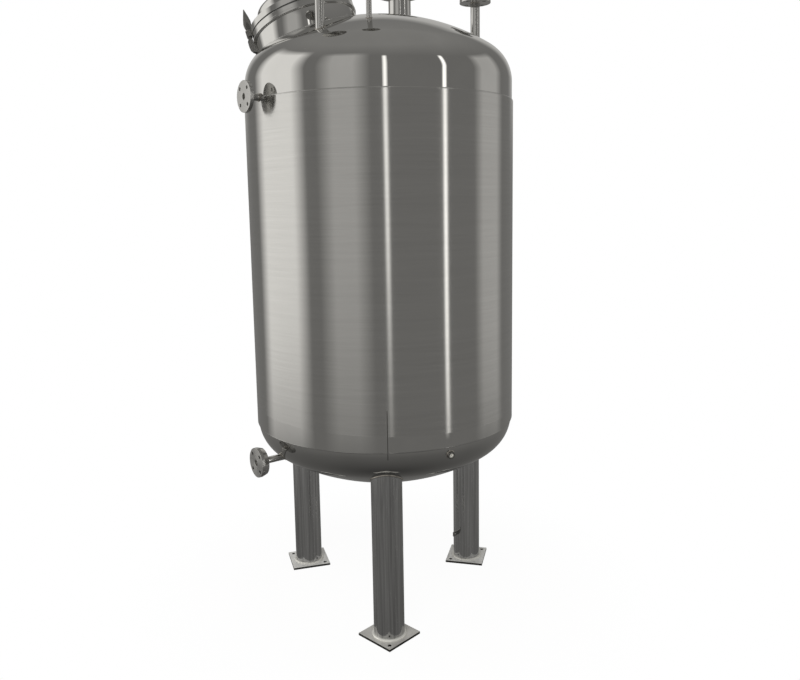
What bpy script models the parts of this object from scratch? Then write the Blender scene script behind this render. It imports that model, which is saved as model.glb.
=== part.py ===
"""Vertical stainless steel storage tank on three pipe legs.

Units are metres and +Z is up. The origin is on the floor under the tank's axis.
One leg points along -Y, the side that the tank is looked at from.
"""

import math

import bmesh
import bpy
from mathutils import Matrix, Vector

# Clearance between two pieces that are welded or seated together.
GAP = 0.0003

# Shell and dished heads.
SHELL_RADIUS = 0.600
SHELL_WALL = 0.005
SHELL_BOTTOM = 0.855
SHELL_TOP = 2.345
HEAD_WALL = 0.005
HEAD_RADIUS = SHELL_RADIUS - SHELL_WALL - GAP
HEAD_LAP = 0.040
CROWN_RADIUS = 0.970
KNUCKLE_RADIUS = 0.170
TOP_TANGENT = 2.370
BOTTOM_TANGENT = 0.863
ROUND_STEPS = 64
KNUCKLE_STEPS = 5
CROWN_STEPS = 5

# Legs and base plates.
LEG_CIRCLE = 0.477
LEG_RADIUS = 0.0665
LEG_WALL = 0.004
LEG_STEPS = 24
LEG_ANGLES = {"front": -90.0, "right": 30.0, "left": 150.0}
PLATE_SIDE = 0.188
PLATE_THICKNESS = 0.010
PLATE_HOLE_REACH = 0.1005
PLATE_HOLE_RADIUS = 0.008
HOLE_STEPS = 8

# Manway on the left of the top head. Its own frame has +Z along the neck and its
# origin in the joint between the neck's flange and the cover.
MANWAY_CENTRE = Vector((-0.330, -0.014, 2.6525))
MANWAY_TILT = 19.6
MANWAY_TILT_TOWARDS = 155.0
NECK_RADIUS = 0.2285
NECK_WALL = 0.005
NECK_BOTTOM = -0.140
MANWAY_STEPS = 48
JOINT_HALF = 0.0025
FLANGE_BOTTOM = -0.031
FLANGE_LIP_TOP = -0.021
FLANGE_LIP_RADIUS = 0.2365
FLANGE_RADIUS = 0.2345
GASKET_INNER = 0.2235
GASKET_OUTER = 0.2325
COVER_RING_TOP = 0.0274
COVER_RING_BORE = 0.182
DOME_RADIUS = 0.187
DOME_WALL = 0.004
DOME_SIDE = 0.040
DOME_KNUCKLE = 0.025
DOME_CROWN = 0.360
HANDLE_ROD = 0.006
HANDLE_SPAN = 0.130
HANDLE_HEIGHT = 0.048

# Cover hinge, in a frame turned about the manway's axis: +X outwards, +Y along the pin.
HINGE_ANGLE = 250.0
HINGE_REACH = 0.268
HINGE_PIN_RADIUS = 0.005
HINGE_BOSS_RADIUS = 0.012
HINGE_ARM_HALF = 0.010
HINGE_CHEEK_INNER = 0.0115
HINGE_CHEEK_OUTER = 0.0195

# Cover clamp on the tank's outer side, in the same kind of frame.
CLAMP_ANGLE = 30.0
CLAMP_REACH = 0.2425
CLAMP_SCREW_RADIUS = 0.006
CLAMP_SLOT_RADIUS = 0.0088
CLAMP_TIP = -0.030
CLAMP_EAR_REACH = 0.258
CLAMP_HUB_RADIUS = 0.014
CLAMP_HUB_HEIGHT = 0.008
CLAMP_BLADE = (
    (-0.0120, 0.034),
    (0.0090, 0.034),
    (0.0130, 0.046),
    (0.0140, 0.063),
    (0.0080, 0.085),
    (0.0000, 0.108),
    (-0.0070, 0.128),
    (-0.0100, 0.128),
    (-0.0130, 0.114),
    (-0.0180, 0.094),
    (-0.0220, 0.071),
    (-0.0190, 0.046),
)
CLAMP_LUG = (
    (0.2368, -0.007),
    (0.2550, -0.007),
    (0.2610, -0.018),
    (0.2625, -0.034),
    (0.2605, -0.052),
    (0.2530, -0.064),
    (0.2440, -0.071),
    (0.2288, -0.074),
    (0.2288, -0.032),
    (0.2368, -0.032),
)

# Flanges: outer radius, thickness, bolt circle radius, bolt hole radius, bolt count.
FLANGES = {
    "left_top": (0.069, 0.014, 0.050, 0.008, 4),
    "thin_top": (0.0475, 0.012, 0.034, 0.006, 4),
    "large_top": (0.106, 0.018, 0.088, 0.009, 8),
    "right_top": (0.070, 0.016, 0.050, 0.008, 4),
    "upper_gauge": (0.064, 0.016, 0.0460, 0.007, 4),
    "lower_gauge": (0.064, 0.035, 0.0460, 0.007, 4),
    "outlet": (0.064, 0.016, 0.0460, 0.007, 4),
}

# Flanges that taper at the back: radius of the back and depth of the straight rim.
FLANGE_TAPERS = {"lower_gauge": (0.057, 0.014)}

# Top nozzles: place on the head in x and y, pipe radius, wall, top end of the pipe.
TOP_NOZZLES = {
    "left_top": (-0.228, -0.400, 0.0190, 0.002, 2.735),
    "thin_top": (-0.033, -0.380, 0.0112, 0.002, 2.755),
    "large_top": (0.108, 0.300, 0.0540, 0.004, 2.850),
    "right_top": (0.443, 0.050, 0.0210, 0.003, 2.752),
}
PIPE_STEPS = 16
NOZZLE_INSIDE = 0.015

# Level gauge nozzles: height, inner end of the pipe and face of the flange.
GAUGE_ANGLE = 215.0
GAUGE_PIPE_RADIUS = 0.0145
GAUGE_PIPE_WALL = 0.002
GAUGE_NOZZLES = {
    "upper_gauge": (2.286, 0.580, 0.666),
    "lower_gauge": (0.754, 0.525, 0.681),
}

# Bottom outlet, on the tank's axis behind the front leg.
OUTLET_RADIUS = 0.024
OUTLET_WALL = 0.003
OUTLET_END = 0.460
OUTLET_INSIDE = 0.590

# Threaded coupling with a plug, on the knuckle of the bottom head.
COUPLING_ANGLE = -63.2
COUPLING_SLOPE = 14.8
COUPLING_RADIUS = 0.0160
COUPLING_BORE = 0.0105
COUPLING_REACH = 0.012
COUPLING_INSIDE = 0.006
PLUG_RECESS = 0.002

# Earthing lug on the right leg.
LUG_ANGLE = 226.0
LUG_HEIGHT = 0.155
LUG_SIZE = (0.042, 0.006, 0.022)
LUG_HOLE = 0.0050


def new_material(name, colour, roughness, metallic=1.0):
    material = bpy.data.materials.new(name)
    material.use_nodes = True
    shader = material.node_tree.nodes["Principled BSDF"]
    shader.inputs["Base Color"].default_value = (*colour, 1.0)
    shader.inputs["Roughness"].default_value = roughness
    shader.inputs["Metallic"].default_value = metallic
    material.diffuse_color = (*colour, 1.0)
    return material


def clear_scene():
    for existing in list(bpy.data.objects):
        bpy.data.objects.remove(existing, do_unlink=True)


def finish_mesh(name, bm, material, placement, weld=0.00005):
    """Makes an object of the bmesh, with its faces pointing out."""
    bmesh.ops.remove_doubles(bm, verts=bm.verts, dist=weld)
    bmesh.ops.recalc_face_normals(bm, faces=bm.faces)
    mesh = bpy.data.meshes.new(name)
    bm.to_mesh(mesh)
    bm.free()
    mesh.shade_smooth()
    mesh.set_sharp_from_angle(angle=math.radians(40.0))
    if material:
        mesh.materials.append(material)
    made = bpy.data.objects.new(name, mesh)
    made.matrix_world = placement
    bpy.context.scene.collection.objects.link(made)
    return made


def turned(name, outline, steps, material, placement=Matrix()):
    """Turns a closed outline of (radius, height) points about Z."""
    bm = bmesh.new()
    corners = [bm.verts.new((radius, 0.0, height)) for radius, height in outline]
    edges = [bm.edges.new((corners[i], corners[i - 1])) for i in range(len(corners))]
    bmesh.ops.spin(
        bm,
        geom=corners + edges,
        cent=(0.0, 0.0, 0.0),
        axis=(0.0, 0.0, 1.0),
        angle=math.tau,
        steps=steps,
        use_merge=True,
    )
    return finish_mesh(name, bm, material, placement)


def tube(name, outer, wall, low, high, steps, material, placement=Matrix()):
    """Makes a pipe, or a plain rod where the wall is as thick as the radius."""
    inner = outer - wall
    if inner > 0.0:
        outline = [(inner, low), (outer, low), (outer, high), (inner, high)]
        return turned(name, outline, steps, material, placement)
    bm = bmesh.new()
    base = bmesh.ops.create_circle(bm, cap_ends=True, radius=outer, segments=steps)
    bmesh.ops.translate(bm, verts=base["verts"], vec=(0.0, 0.0, low))
    raised = bmesh.ops.extrude_face_region(bm, geom=list(bm.faces), use_keep_orig=True)
    tops = [part for part in raised["geom"] if isinstance(part, bmesh.types.BMVert)]
    bmesh.ops.translate(bm, verts=tops, vec=(0.0, 0.0, high - low))
    return finish_mesh(name, bm, material, placement)


def box(name, low, high, material, placement=Matrix()):
    bm = bmesh.new()
    bmesh.ops.create_cube(bm, size=1.0)
    size = Vector(high) - Vector(low)
    centre = (Vector(high) + Vector(low)) / 2.0
    bmesh.ops.scale(bm, verts=bm.verts, vec=size)
    bmesh.ops.translate(bm, verts=bm.verts, vec=centre)
    return finish_mesh(name, bm, material, placement)


def plate(name, outline, half, material, placement=Matrix()):
    """Extrudes an outline of (x, z) points by half to each side along Y."""
    bm = bmesh.new()
    face = bm.faces.new([bm.verts.new((x, -half, z)) for x, z in outline])
    raised = bmesh.ops.extrude_face_region(bm, geom=[face], use_keep_orig=True)
    far = [part for part in raised["geom"] if isinstance(part, bmesh.types.BMVert)]
    bmesh.ops.translate(bm, verts=far, vec=(0.0, 2.0 * half, 0.0))
    return finish_mesh(name, bm, material, placement)


def swept(name, route, radius, steps, material, placement=Matrix()):
    """Sweeps a round rod along a route of (y, z) points."""
    bm = bmesh.new()
    rings = []
    for index, (across, height) in enumerate(route):
        before = Vector(route[max(index - 1, 0)])
        after = Vector(route[min(index + 1, len(route) - 1)])
        along = (after - before).normalized()
        ring = []
        for step in range(steps):
            angle = math.tau * step / steps
            side = radius * math.sin(angle)
            place = (radius * math.cos(angle), across - along.y * side, height + along.x * side)
            ring.append(bm.verts.new(place))
        rings.append(ring)
    for first, second in zip(rings, rings[1:]):
        for step in range(steps):
            following = (step + 1) % steps
            bm.faces.new((first[step], first[following], second[following], second[step]))
    bm.faces.new(rings[0])
    bm.faces.new(rings[-1])
    return finish_mesh(name, bm, material, placement)


def hide_cutter(cutter):
    cutter.hide_render = True
    cutter.display_type = "WIRE"
    return cutter


def combine(target, other, operation):
    """Adds a Boolean modifier, and keeps the other shape as a hidden guide."""
    hide_cutter(other)
    modifier = target.modifiers.new(other.name, "BOOLEAN")
    modifier.operation = operation
    modifier.solver = "EXACT"
    modifier.object = other


def cut(target, cutter):
    combine(target, cutter, "DIFFERENCE")


def arc(centre, radius, start, end, steps):
    """Points on an arc, in degrees from +X towards +Z, both ends included."""
    points = []
    for step in range(steps + 1):
        angle = math.radians(start + (end - start) * step / steps)
        points.append((centre[0] + radius * math.cos(angle), centre[1] + radius * math.sin(angle)))
    return points


def dish(radius, crown, knuckle, knuckle_steps, crown_steps):
    """Outer side of a dished end from its tangent line to its middle, at height 0 and up."""
    reach = radius - knuckle
    drop = math.sqrt((crown - knuckle) ** 2 - reach**2)
    turn = math.degrees(math.atan2(drop, reach))
    side = arc((reach, 0.0), knuckle, 0.0, turn, knuckle_steps)
    top = arc((0.0, -drop), crown, turn, 90.0, crown_steps)
    top[-1] = (0.0, top[-1][1])
    return side + top[1:]


def head_outline(offset):
    """Dished end of the tank, grown by offset."""
    return dish(
        HEAD_RADIUS + offset,
        CROWN_RADIUS + offset,
        KNUCKLE_RADIUS + offset,
        KNUCKLE_STEPS,
        CROWN_STEPS,
    )


def head_height(x, y):
    """Height of the outer side of the top head above a place on the floor."""
    distance = math.hypot(x, y)
    reach = HEAD_RADIUS - KNUCKLE_RADIUS
    drop = math.sqrt((CROWN_RADIUS - KNUCKLE_RADIUS) ** 2 - reach**2)
    return TOP_TANGENT - drop + math.sqrt(CROWN_RADIUS**2 - distance**2)


def head_shell(name, tangent, skirt, upwards, material):
    """One head: a straight skirt inside the shell, then the knuckle and the crown."""
    sign = 1.0 if upwards else -1.0
    outer = [(radius, tangent + sign * height) for radius, height in head_outline(0.0)]
    inner = [(radius, tangent + sign * height) for radius, height in head_outline(-HEAD_WALL)]
    skirt_end = tangent - sign * skirt
    inner_radius = HEAD_RADIUS - HEAD_WALL
    outline = [(HEAD_RADIUS, skirt_end)] + outer
    outline += list(reversed(inner)) + [(inner_radius, skirt_end)]
    return turned_to_axis(name, outline, ROUND_STEPS, material)


def turned_to_axis(name, outline, steps, material, placement=Matrix()):
    """Turns an outline that meets the axis, so it has no edge along the axis."""
    bm = bmesh.new()
    corners = [bm.verts.new((radius, 0.0, height)) for radius, height in outline]
    edges = []
    for index in range(len(corners)):
        first, second = corners[index - 1], corners[index]
        if outline[index - 1][0] > 0.0 or outline[index][0] > 0.0:
            edges.append(bm.edges.new((first, second)))
    bmesh.ops.spin(
        bm,
        geom=corners + edges,
        cent=(0.0, 0.0, 0.0),
        axis=(0.0, 0.0, 1.0),
        angle=math.tau,
        steps=steps,
        use_merge=True,
    )
    return finish_mesh(name, bm, material, placement)


def turn(degrees):
    return Matrix.Rotation(math.radians(degrees), 4, "Z")


def manway_frame():
    """Frame with +X down the tilt, +Z along the neck and its origin in the cover's joint."""
    tilt = Matrix.Rotation(math.radians(MANWAY_TILT), 4, "Y")
    return Matrix.Translation(MANWAY_CENTRE) @ turn(MANWAY_TILT_TOWARDS) @ tilt


def flange(name, kind, pipe_radius, face, material, placement):
    """Plate flange with its face at the given height, round a pipe along Z."""
    radius, thickness, bolt_circle, bolt_radius, bolts = FLANGES[kind]
    steps = 32 if radius > 0.1 else 24
    low = face - thickness
    bore = pipe_radius + GAP
    outline = [(bore, low), (radius, low), (radius, face), (bore, face)]
    if kind in FLANGE_TAPERS:
        back, rim = FLANGE_TAPERS[kind]
        outline[1:2] = [(back, low), (radius, face - rim)]
    made = turned(name, outline, steps, material, placement)
    for number in range(bolts):
        place = turn(360.0 * (number + 0.5) / bolts) @ Matrix.Translation((bolt_circle, 0.0, 0.0))
        drill = tube(
            f"{name}_drill_{number + 1}",
            bolt_radius,
            bolt_radius,
            low - thickness,
            face + thickness,
            HOLE_STEPS,
            None,
            placement @ place,
        )
        cut(made, drill)
    return made


def drill_for_pipe(target, name, radius, low, high, steps, placement):
    """Cuts the hole that a pipe of this radius passes through."""
    grown = radius + GAP
    cut(target, tube(name, grown, grown, low, high, steps, None, placement))


def build_legs(steel, bottom_head_guide):
    for side, degrees in LEG_ANGLES.items():
        placement = turn(degrees) @ Matrix.Translation((LEG_CIRCLE, 0.0, 0.0))
        leg_low = PLATE_THICKNESS + GAP
        leg = tube(f"{side}_leg", LEG_RADIUS, LEG_WALL, leg_low, 0.80, LEG_STEPS, steel, placement)
        cut(leg, bottom_head_guide)
        build_base_plate(side, steel, placement @ turn(45.0))


def build_base_plate(side, steel, placement):
    """Square plate with one corner pointing out and a hole at its outer and inner corners."""
    half = PLATE_SIDE / 2.0
    made = box(f"{side}_base_plate", (-half, -half, 0.0), (half, half, PLATE_THICKNESS), steel, placement)
    for number, sign in enumerate((-1.0, 1.0)):
        place = placement @ turn(-45.0) @ Matrix.Translation((sign * PLATE_HOLE_REACH, 0.0, 0.0))
        drill = tube(
            f"{side}_plate_drill_{number + 1}",
            PLATE_HOLE_RADIUS,
            PLATE_HOLE_RADIUS,
            -PLATE_THICKNESS,
            2.0 * PLATE_THICKNESS,
            HOLE_STEPS,
            None,
            place,
        )
        cut(made, drill)


def build_shell(steel):
    shell = tube("shell", SHELL_RADIUS, SHELL_WALL, SHELL_BOTTOM, SHELL_TOP, ROUND_STEPS, steel)
    top_skirt = TOP_TANGENT - SHELL_TOP + HEAD_LAP
    bottom_skirt = SHELL_BOTTOM + HEAD_LAP - BOTTOM_TANGENT
    top_head = head_shell("top_head", TOP_TANGENT, top_skirt, True, steel)
    bottom_head = head_shell("bottom_head", BOTTOM_TANGENT, bottom_skirt, False, steel)
    return shell, top_head, bottom_head


def build_head_guide():
    """Solid that fills the bottom head and the space above it, to cope the legs with."""
    outline = [(radius, BOTTOM_TANGENT - height) for radius, height in head_outline(GAP)]
    outline += [(0.0, 1.2), (HEAD_RADIUS + GAP, 1.2)]
    return hide_cutter(turned_to_axis("bottom_head_guide", outline, ROUND_STEPS, None))


def build_top_nozzles(steel, top_head):
    for kind, (x, y, radius, wall, end) in TOP_NOZZLES.items():
        low = head_height(x, y) - HEAD_WALL - NOZZLE_INSIDE - radius * 0.6
        placement = Matrix.Translation((x, y, 0.0))
        steps = 24 if radius > 0.05 else PIPE_STEPS
        tube(f"{kind}_nozzle_pipe", radius, wall, low, end, steps, steel, placement)
        flange(f"{kind}_nozzle_flange", kind, radius, end, steel, placement)
        drill_for_pipe(top_head, f"{kind}_nozzle_drill", radius, low - 0.05, end, steps, placement)


def build_gauge_nozzles(steel, shell, bottom_head):
    for name, (height, inner_end, face) in GAUGE_NOZZLES.items():
        lay_down = Matrix.Rotation(math.radians(90.0), 4, "Y")
        placement = Matrix.Translation((0.0, 0.0, height)) @ turn(GAUGE_ANGLE) @ lay_down
        tube(
            f"{name}_nozzle_pipe",
            GAUGE_PIPE_RADIUS,
            GAUGE_PIPE_WALL,
            inner_end,
            face,
            PIPE_STEPS,
            steel,
            placement,
        )
        flange(f"{name}_nozzle_flange", name, GAUGE_PIPE_RADIUS, face, steel, placement)
        target = shell if height > SHELL_BOTTOM else bottom_head
        drill_for_pipe(
            target,
            f"{name}_nozzle_drill",
            GAUGE_PIPE_RADIUS,
            inner_end - 0.05,
            face,
            PIPE_STEPS,
            placement,
        )


def build_outlet(steel, bottom_head):
    flip = Matrix.Rotation(math.radians(180.0), 4, "X")
    low, high = -OUTLET_INSIDE, -OUTLET_END
    tube("bottom_outlet_pipe", OUTLET_RADIUS, OUTLET_WALL, low, high, PIPE_STEPS, steel, flip)
    flange("bottom_outlet_flange", "outlet", OUTLET_RADIUS, high, steel, flip)
    drill_for_pipe(bottom_head, "bottom_outlet_drill", OUTLET_RADIUS, low - 0.05, high, PIPE_STEPS, flip)


def build_coupling(steel, bottom_head):
    """Short plugged socket that stands square to the knuckle of the bottom head."""
    slope = math.radians(COUPLING_SLOPE)
    centre = Matrix.Translation((HEAD_RADIUS - KNUCKLE_RADIUS, 0.0, BOTTOM_TANGENT))
    lean = Matrix.Rotation(math.radians(90.0) + slope, 4, "Y")
    placement = turn(COUPLING_ANGLE) @ centre @ lean
    low = KNUCKLE_RADIUS - HEAD_WALL - COUPLING_INSIDE
    high = KNUCKLE_RADIUS + COUPLING_REACH
    wall = COUPLING_RADIUS - COUPLING_BORE
    tube("bottom_coupling", COUPLING_RADIUS, wall, low, high, PIPE_STEPS, steel, placement)
    plug = COUPLING_BORE - GAP
    plug_high = high - PLUG_RECESS
    tube("bottom_coupling_plug", plug, plug, low, plug_high, PIPE_STEPS, steel, placement)
    drill_for_pipe(bottom_head, "bottom_coupling_drill", COUPLING_RADIUS, low - 0.05, high, PIPE_STEPS, placement)


def build_earthing_lug(steel):
    leg = turn(LEG_ANGLES["right"]) @ Matrix.Translation((LEG_CIRCLE, 0.0, LUG_HEIGHT))
    placement = leg @ turn(LUG_ANGLE - LEG_ANGLES["right"])
    reach, thickness, height = LUG_SIZE
    start = LEG_RADIUS + GAP
    low = (start, -thickness / 2.0, -height / 2.0)
    high = (start + reach, thickness / 2.0, height / 2.0)
    lug = box("earthing_lug", low, high, steel, placement)
    across = Matrix.Rotation(math.radians(90.0), 4, "X")
    middle = Matrix.Translation((start + reach * 0.7, 0.0, 0.0))
    drill = tube("earthing_lug_drill", LUG_HOLE, LUG_HOLE, -0.02, 0.02, HOLE_STEPS, None, placement @ middle @ across)
    cut(lug, drill)


def build_manway(steel, rubber, top_head):
    frame = manway_frame()
    tube("manway_neck", NECK_RADIUS, NECK_WALL, NECK_BOTTOM, -JOINT_HALF, MANWAY_STEPS, steel, frame)
    drill_for_pipe(top_head, "manway_neck_drill", NECK_RADIUS, -0.30, 0.10, MANWAY_STEPS, frame)
    bore = NECK_RADIUS + GAP
    flange_outline = [
        (bore, FLANGE_BOTTOM),
        (FLANGE_LIP_RADIUS, FLANGE_BOTTOM),
        (FLANGE_LIP_RADIUS, FLANGE_LIP_TOP),
        (FLANGE_RADIUS, FLANGE_LIP_TOP),
        (FLANGE_RADIUS, -JOINT_HALF),
        (bore, -JOINT_HALF),
    ]
    ring = turned("manway_flange", flange_outline, MANWAY_STEPS, steel, frame)
    cut(ring, clamp_slot("manway_flange_slot", frame))
    gasket_half = JOINT_HALF - GAP
    gasket_wall = GASKET_OUTER - GASKET_INNER
    tube("manway_gasket", GASKET_OUTER, gasket_wall, -gasket_half, gasket_half, MANWAY_STEPS, rubber, frame)
    return frame


def build_cover(steel, frame):
    ring_wall = FLANGE_RADIUS - COVER_RING_BORE
    tube("cover_ring", FLANGE_RADIUS, ring_wall, JOINT_HALF, COVER_RING_TOP, MANWAY_STEPS, steel, frame)
    base = COVER_RING_TOP + GAP
    shoulder = base + DOME_SIDE
    outer = dish(DOME_RADIUS, DOME_CROWN, DOME_KNUCKLE, 3, 4)
    inner = dish(
        DOME_RADIUS - DOME_WALL,
        DOME_CROWN - DOME_WALL,
        DOME_KNUCKLE - DOME_WALL,
        3,
        4,
    )
    outline = [(DOME_RADIUS, base)]
    outline += [(radius, shoulder + height) for radius, height in outer]
    outline += [(radius, shoulder + height) for radius, height in reversed(inner)]
    outline += [(DOME_RADIUS - DOME_WALL, base)]
    turned_to_axis("cover_dome", outline, MANWAY_STEPS, steel, frame)
    grown = dish(DOME_RADIUS + GAP, DOME_CROWN + GAP, DOME_KNUCKLE + GAP, 3, 4)
    guide_outline = [(radius, shoulder + height) for radius, height in grown]
    guide_outline += [(0.0, base), (DOME_RADIUS + GAP, base)]
    guide = hide_cutter(turned_to_axis("cover_dome_guide", guide_outline, MANWAY_STEPS, None, frame))
    build_handle(steel, frame, guide, shoulder + outer[-1][1])


def build_handle(steel, frame, dome_guide, dome_top):
    """Bent rod on top of the cover, its feet coped to the dome."""
    half = HANDLE_SPAN / 2.0
    top = dome_top + HANDLE_HEIGHT
    bend = 0.018
    route = [(-half, dome_top - 0.020)]
    route += arc((-half + bend, top - bend), bend, 180.0, 90.0, 3)
    route += arc((half - bend, top - bend), bend, 90.0, 0.0, 3)
    route += [(half, dome_top - 0.020)]
    handle = swept("cover_handle", route, HANDLE_ROD, 8, steel, frame @ turn(CLAMP_ANGLE))
    cut(handle, dome_guide)


def build_hinge(steel, frame):
    place = frame @ turn(HINGE_ANGLE)
    across = Matrix.Rotation(math.radians(90.0), 4, "X")
    pin_place = place @ Matrix.Translation((HINGE_REACH, 0.0, COVER_RING_TOP)) @ across

    start = FLANGE_RADIUS + GAP
    base_low = (start, -HINGE_CHEEK_OUTER, FLANGE_LIP_TOP + 0.001)
    base_high = (HINGE_REACH + 0.012, HINGE_CHEEK_OUTER, -0.004)
    bracket = box("hinge_bracket", base_low, base_high, steel, place)
    for side, sign in (("near", -1.0), ("far", 1.0)):
        middle = sign * (HINGE_CHEEK_INNER + HINGE_CHEEK_OUTER) / 2.0
        half = (HINGE_CHEEK_OUTER - HINGE_CHEEK_INNER) / 2.0
        outline = [(HINGE_REACH - 0.014, -0.008), (HINGE_REACH + 0.012, -0.008)]
        outline += arc((HINGE_REACH, COVER_RING_TOP), HINGE_BOSS_RADIUS, 0.0, 180.0, 6)
        cheek = plate(f"hinge_cheek_{side}", outline, half, None, place @ Matrix.Translation((0.0, middle, 0.0)))
        combine(bracket, cheek, "UNION")
    drill = tube("hinge_pin_drill", HINGE_PIN_RADIUS + GAP, HINGE_PIN_RADIUS + GAP, -0.04, 0.04, 12, None, pin_place)
    cut(bracket, drill)

    arm_low = (COVER_RING_BORE + 0.012, -HINGE_ARM_HALF, COVER_RING_TOP + GAP)
    arm_high = (HINGE_REACH, HINGE_ARM_HALF, COVER_RING_TOP + HINGE_BOSS_RADIUS - 0.001)
    arm = box("hinge_arm", arm_low, arm_high, steel, place)
    boss = tube("hinge_arm_boss", HINGE_BOSS_RADIUS, HINGE_BOSS_RADIUS, -HINGE_ARM_HALF, HINGE_ARM_HALF, 16, None, pin_place)
    combine(arm, boss, "UNION")
    arm_drill = tube("hinge_arm_drill", HINGE_PIN_RADIUS + GAP, HINGE_PIN_RADIUS + GAP, -0.05, 0.05, 12, None, pin_place)
    cut(arm, arm_drill)

    head_start = HINGE_CHEEK_OUTER + GAP
    head_end = head_start + 0.004
    pin_outline = [
        (0.0, -head_end),
        (0.008, -head_end),
        (0.008, -head_start),
        (HINGE_PIN_RADIUS, -head_start),
        (HINGE_PIN_RADIUS, head_start),
        (0.008, head_start),
        (0.008, head_end),
        (0.0, head_end),
    ]
    turned_to_axis("hinge_pin", pin_outline, 12, steel, pin_place)


def clamp_slot(name, frame):
    """Cutter for the clearance round the clamp's screw."""
    place = frame @ turn(CLAMP_ANGLE) @ Matrix.Translation((CLAMP_REACH, 0.0, 0.0))
    return tube(name, CLAMP_SLOT_RADIUS, CLAMP_SLOT_RADIUS, -0.12, 0.02, 12, None, place)


def build_clamp(steel, frame):
    place = frame @ turn(CLAMP_ANGLE)
    screw_place = place @ Matrix.Translation((CLAMP_REACH, 0.0, 0.0))

    lug = plate("clamp_lug", CLAMP_LUG, 0.012, steel, place)
    cut(lug, clamp_slot("clamp_lug_slot", frame))

    ear_low = (FLANGE_RADIUS + GAP, -0.016, JOINT_HALF + 0.001)
    ear_high = (CLAMP_EAR_REACH, 0.016, COVER_RING_TOP)
    ear = box("clamp_ear", ear_low, ear_high, steel, place)
    bore = CLAMP_SCREW_RADIUS + GAP
    cut(ear, tube("clamp_ear_drill", bore, bore, -0.02, 0.06, 12, None, screw_place))

    hub_low = COVER_RING_TOP + GAP
    hub_high = hub_low + CLAMP_HUB_HEIGHT
    screw_outline = [
        (0.0, CLAMP_TIP),
        (CLAMP_SCREW_RADIUS, CLAMP_TIP),
        (CLAMP_SCREW_RADIUS, hub_low),
        (CLAMP_HUB_RADIUS, hub_low),
        (CLAMP_HUB_RADIUS, hub_high),
        (0.0, hub_high),
    ]
    screw = turned_to_axis("clamp_screw", screw_outline, 12, steel, screw_place)
    blade = plate("clamp_screw_blade", CLAMP_BLADE, 0.005, None, screw_place)
    combine(screw, blade, "UNION")


MOVING_PIECES = (
    "cover_ring",
    "cover_dome",
    "cover_handle",
    "hinge_arm",
    "clamp_ear",
    "clamp_screw",
)


def hang_cover(frame):
    """Parents the cover's pieces to an empty on the hinge's axis."""
    axis = bpy.data.objects.new("cover_hinge_axis", None)
    place = frame @ turn(HINGE_ANGLE) @ Matrix.Translation((HINGE_REACH, 0.0, COVER_RING_TOP))
    axis.matrix_world = place
    bpy.context.scene.collection.objects.link(axis)
    for name in MOVING_PIECES:
        piece = bpy.data.objects[name]
        piece.parent = axis
        piece.matrix_parent_inverse = place.inverted()


def build_tank():
    clear_scene()
    brushed = new_material("brushed_steel", (0.48, 0.47, 0.45), 0.32)
    polished = new_material("polished_steel", (0.52, 0.50, 0.47), 0.10)
    rubber = new_material("black_rubber", (0.02, 0.02, 0.02), 0.70, 0.0)

    shell, top_head, bottom_head = build_shell(polished)
    shell.data.materials[0] = brushed
    build_legs(polished, build_head_guide())
    build_top_nozzles(polished, top_head)
    build_gauge_nozzles(polished, shell, bottom_head)
    build_outlet(polished, bottom_head)
    build_coupling(polished, bottom_head)
    build_earthing_lug(polished)
    frame = build_manway(polished, rubber, top_head)
    build_cover(polished, frame)
    build_hinge(polished, frame)
    build_clamp(polished, frame)
    hang_cover(frame)


build_tank()
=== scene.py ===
"""Looks of a vertical stainless steel storage tank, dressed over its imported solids.

Units are metres and +Z is up. The origin is on the floor under the tank's axis.
The camera looks along +Y, at the front leg.
"""

import math

import bmesh
import bpy
import numpy as np
from bpy.props import FloatProperty, FloatVectorProperty, PointerProperty
from mathutils import Matrix, Vector


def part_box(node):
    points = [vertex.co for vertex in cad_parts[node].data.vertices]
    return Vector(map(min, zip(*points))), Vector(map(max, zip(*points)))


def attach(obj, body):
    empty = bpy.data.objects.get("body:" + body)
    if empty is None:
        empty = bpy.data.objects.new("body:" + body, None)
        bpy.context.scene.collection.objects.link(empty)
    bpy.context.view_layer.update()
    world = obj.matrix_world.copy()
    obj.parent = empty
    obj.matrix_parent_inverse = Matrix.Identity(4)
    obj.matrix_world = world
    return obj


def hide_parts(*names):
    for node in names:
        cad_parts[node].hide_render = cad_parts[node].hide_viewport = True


bl_info = {
    "name": "Vertical storage tank looks",
    "version": (1, 0, 0),
    "blender": (4, 5, 0),
    "location": "View3D > Sidebar > Tank",
    "description": "Dresses a stainless steel tank in welds, brushed and polished finishes",
    "category": "Add Mesh",
}

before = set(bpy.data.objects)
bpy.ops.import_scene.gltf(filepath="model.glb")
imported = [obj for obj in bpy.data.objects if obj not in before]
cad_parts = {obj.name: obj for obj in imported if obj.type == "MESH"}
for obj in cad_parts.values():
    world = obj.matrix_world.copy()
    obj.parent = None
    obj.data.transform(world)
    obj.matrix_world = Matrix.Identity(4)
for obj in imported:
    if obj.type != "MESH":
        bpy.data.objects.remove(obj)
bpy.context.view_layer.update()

# Clearance between a piece and its neighbour, as in the solids.
GAP = 0.0003

# Edges that turn by more degrees than this stay crisp, on steel and on rubber.
SHARP_ANGLE = 34.0
SOFT_ANGLE = 60.0
# How strongly wide faces set the shading of their corners, out of 100.
FLAT_WEIGHT = 80
# How much of an edge beside it a rounded corner may take up.
CORNER_SHARE = 0.45
# Points nearer to the axis than this are on it, and heights closer than this are the same.
ON_AXIS = 1e-7
SAME_HEIGHT = 1e-6
# Halvings in the search for the place where a pipe comes out of the tank.
HALVINGS = 24

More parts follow.
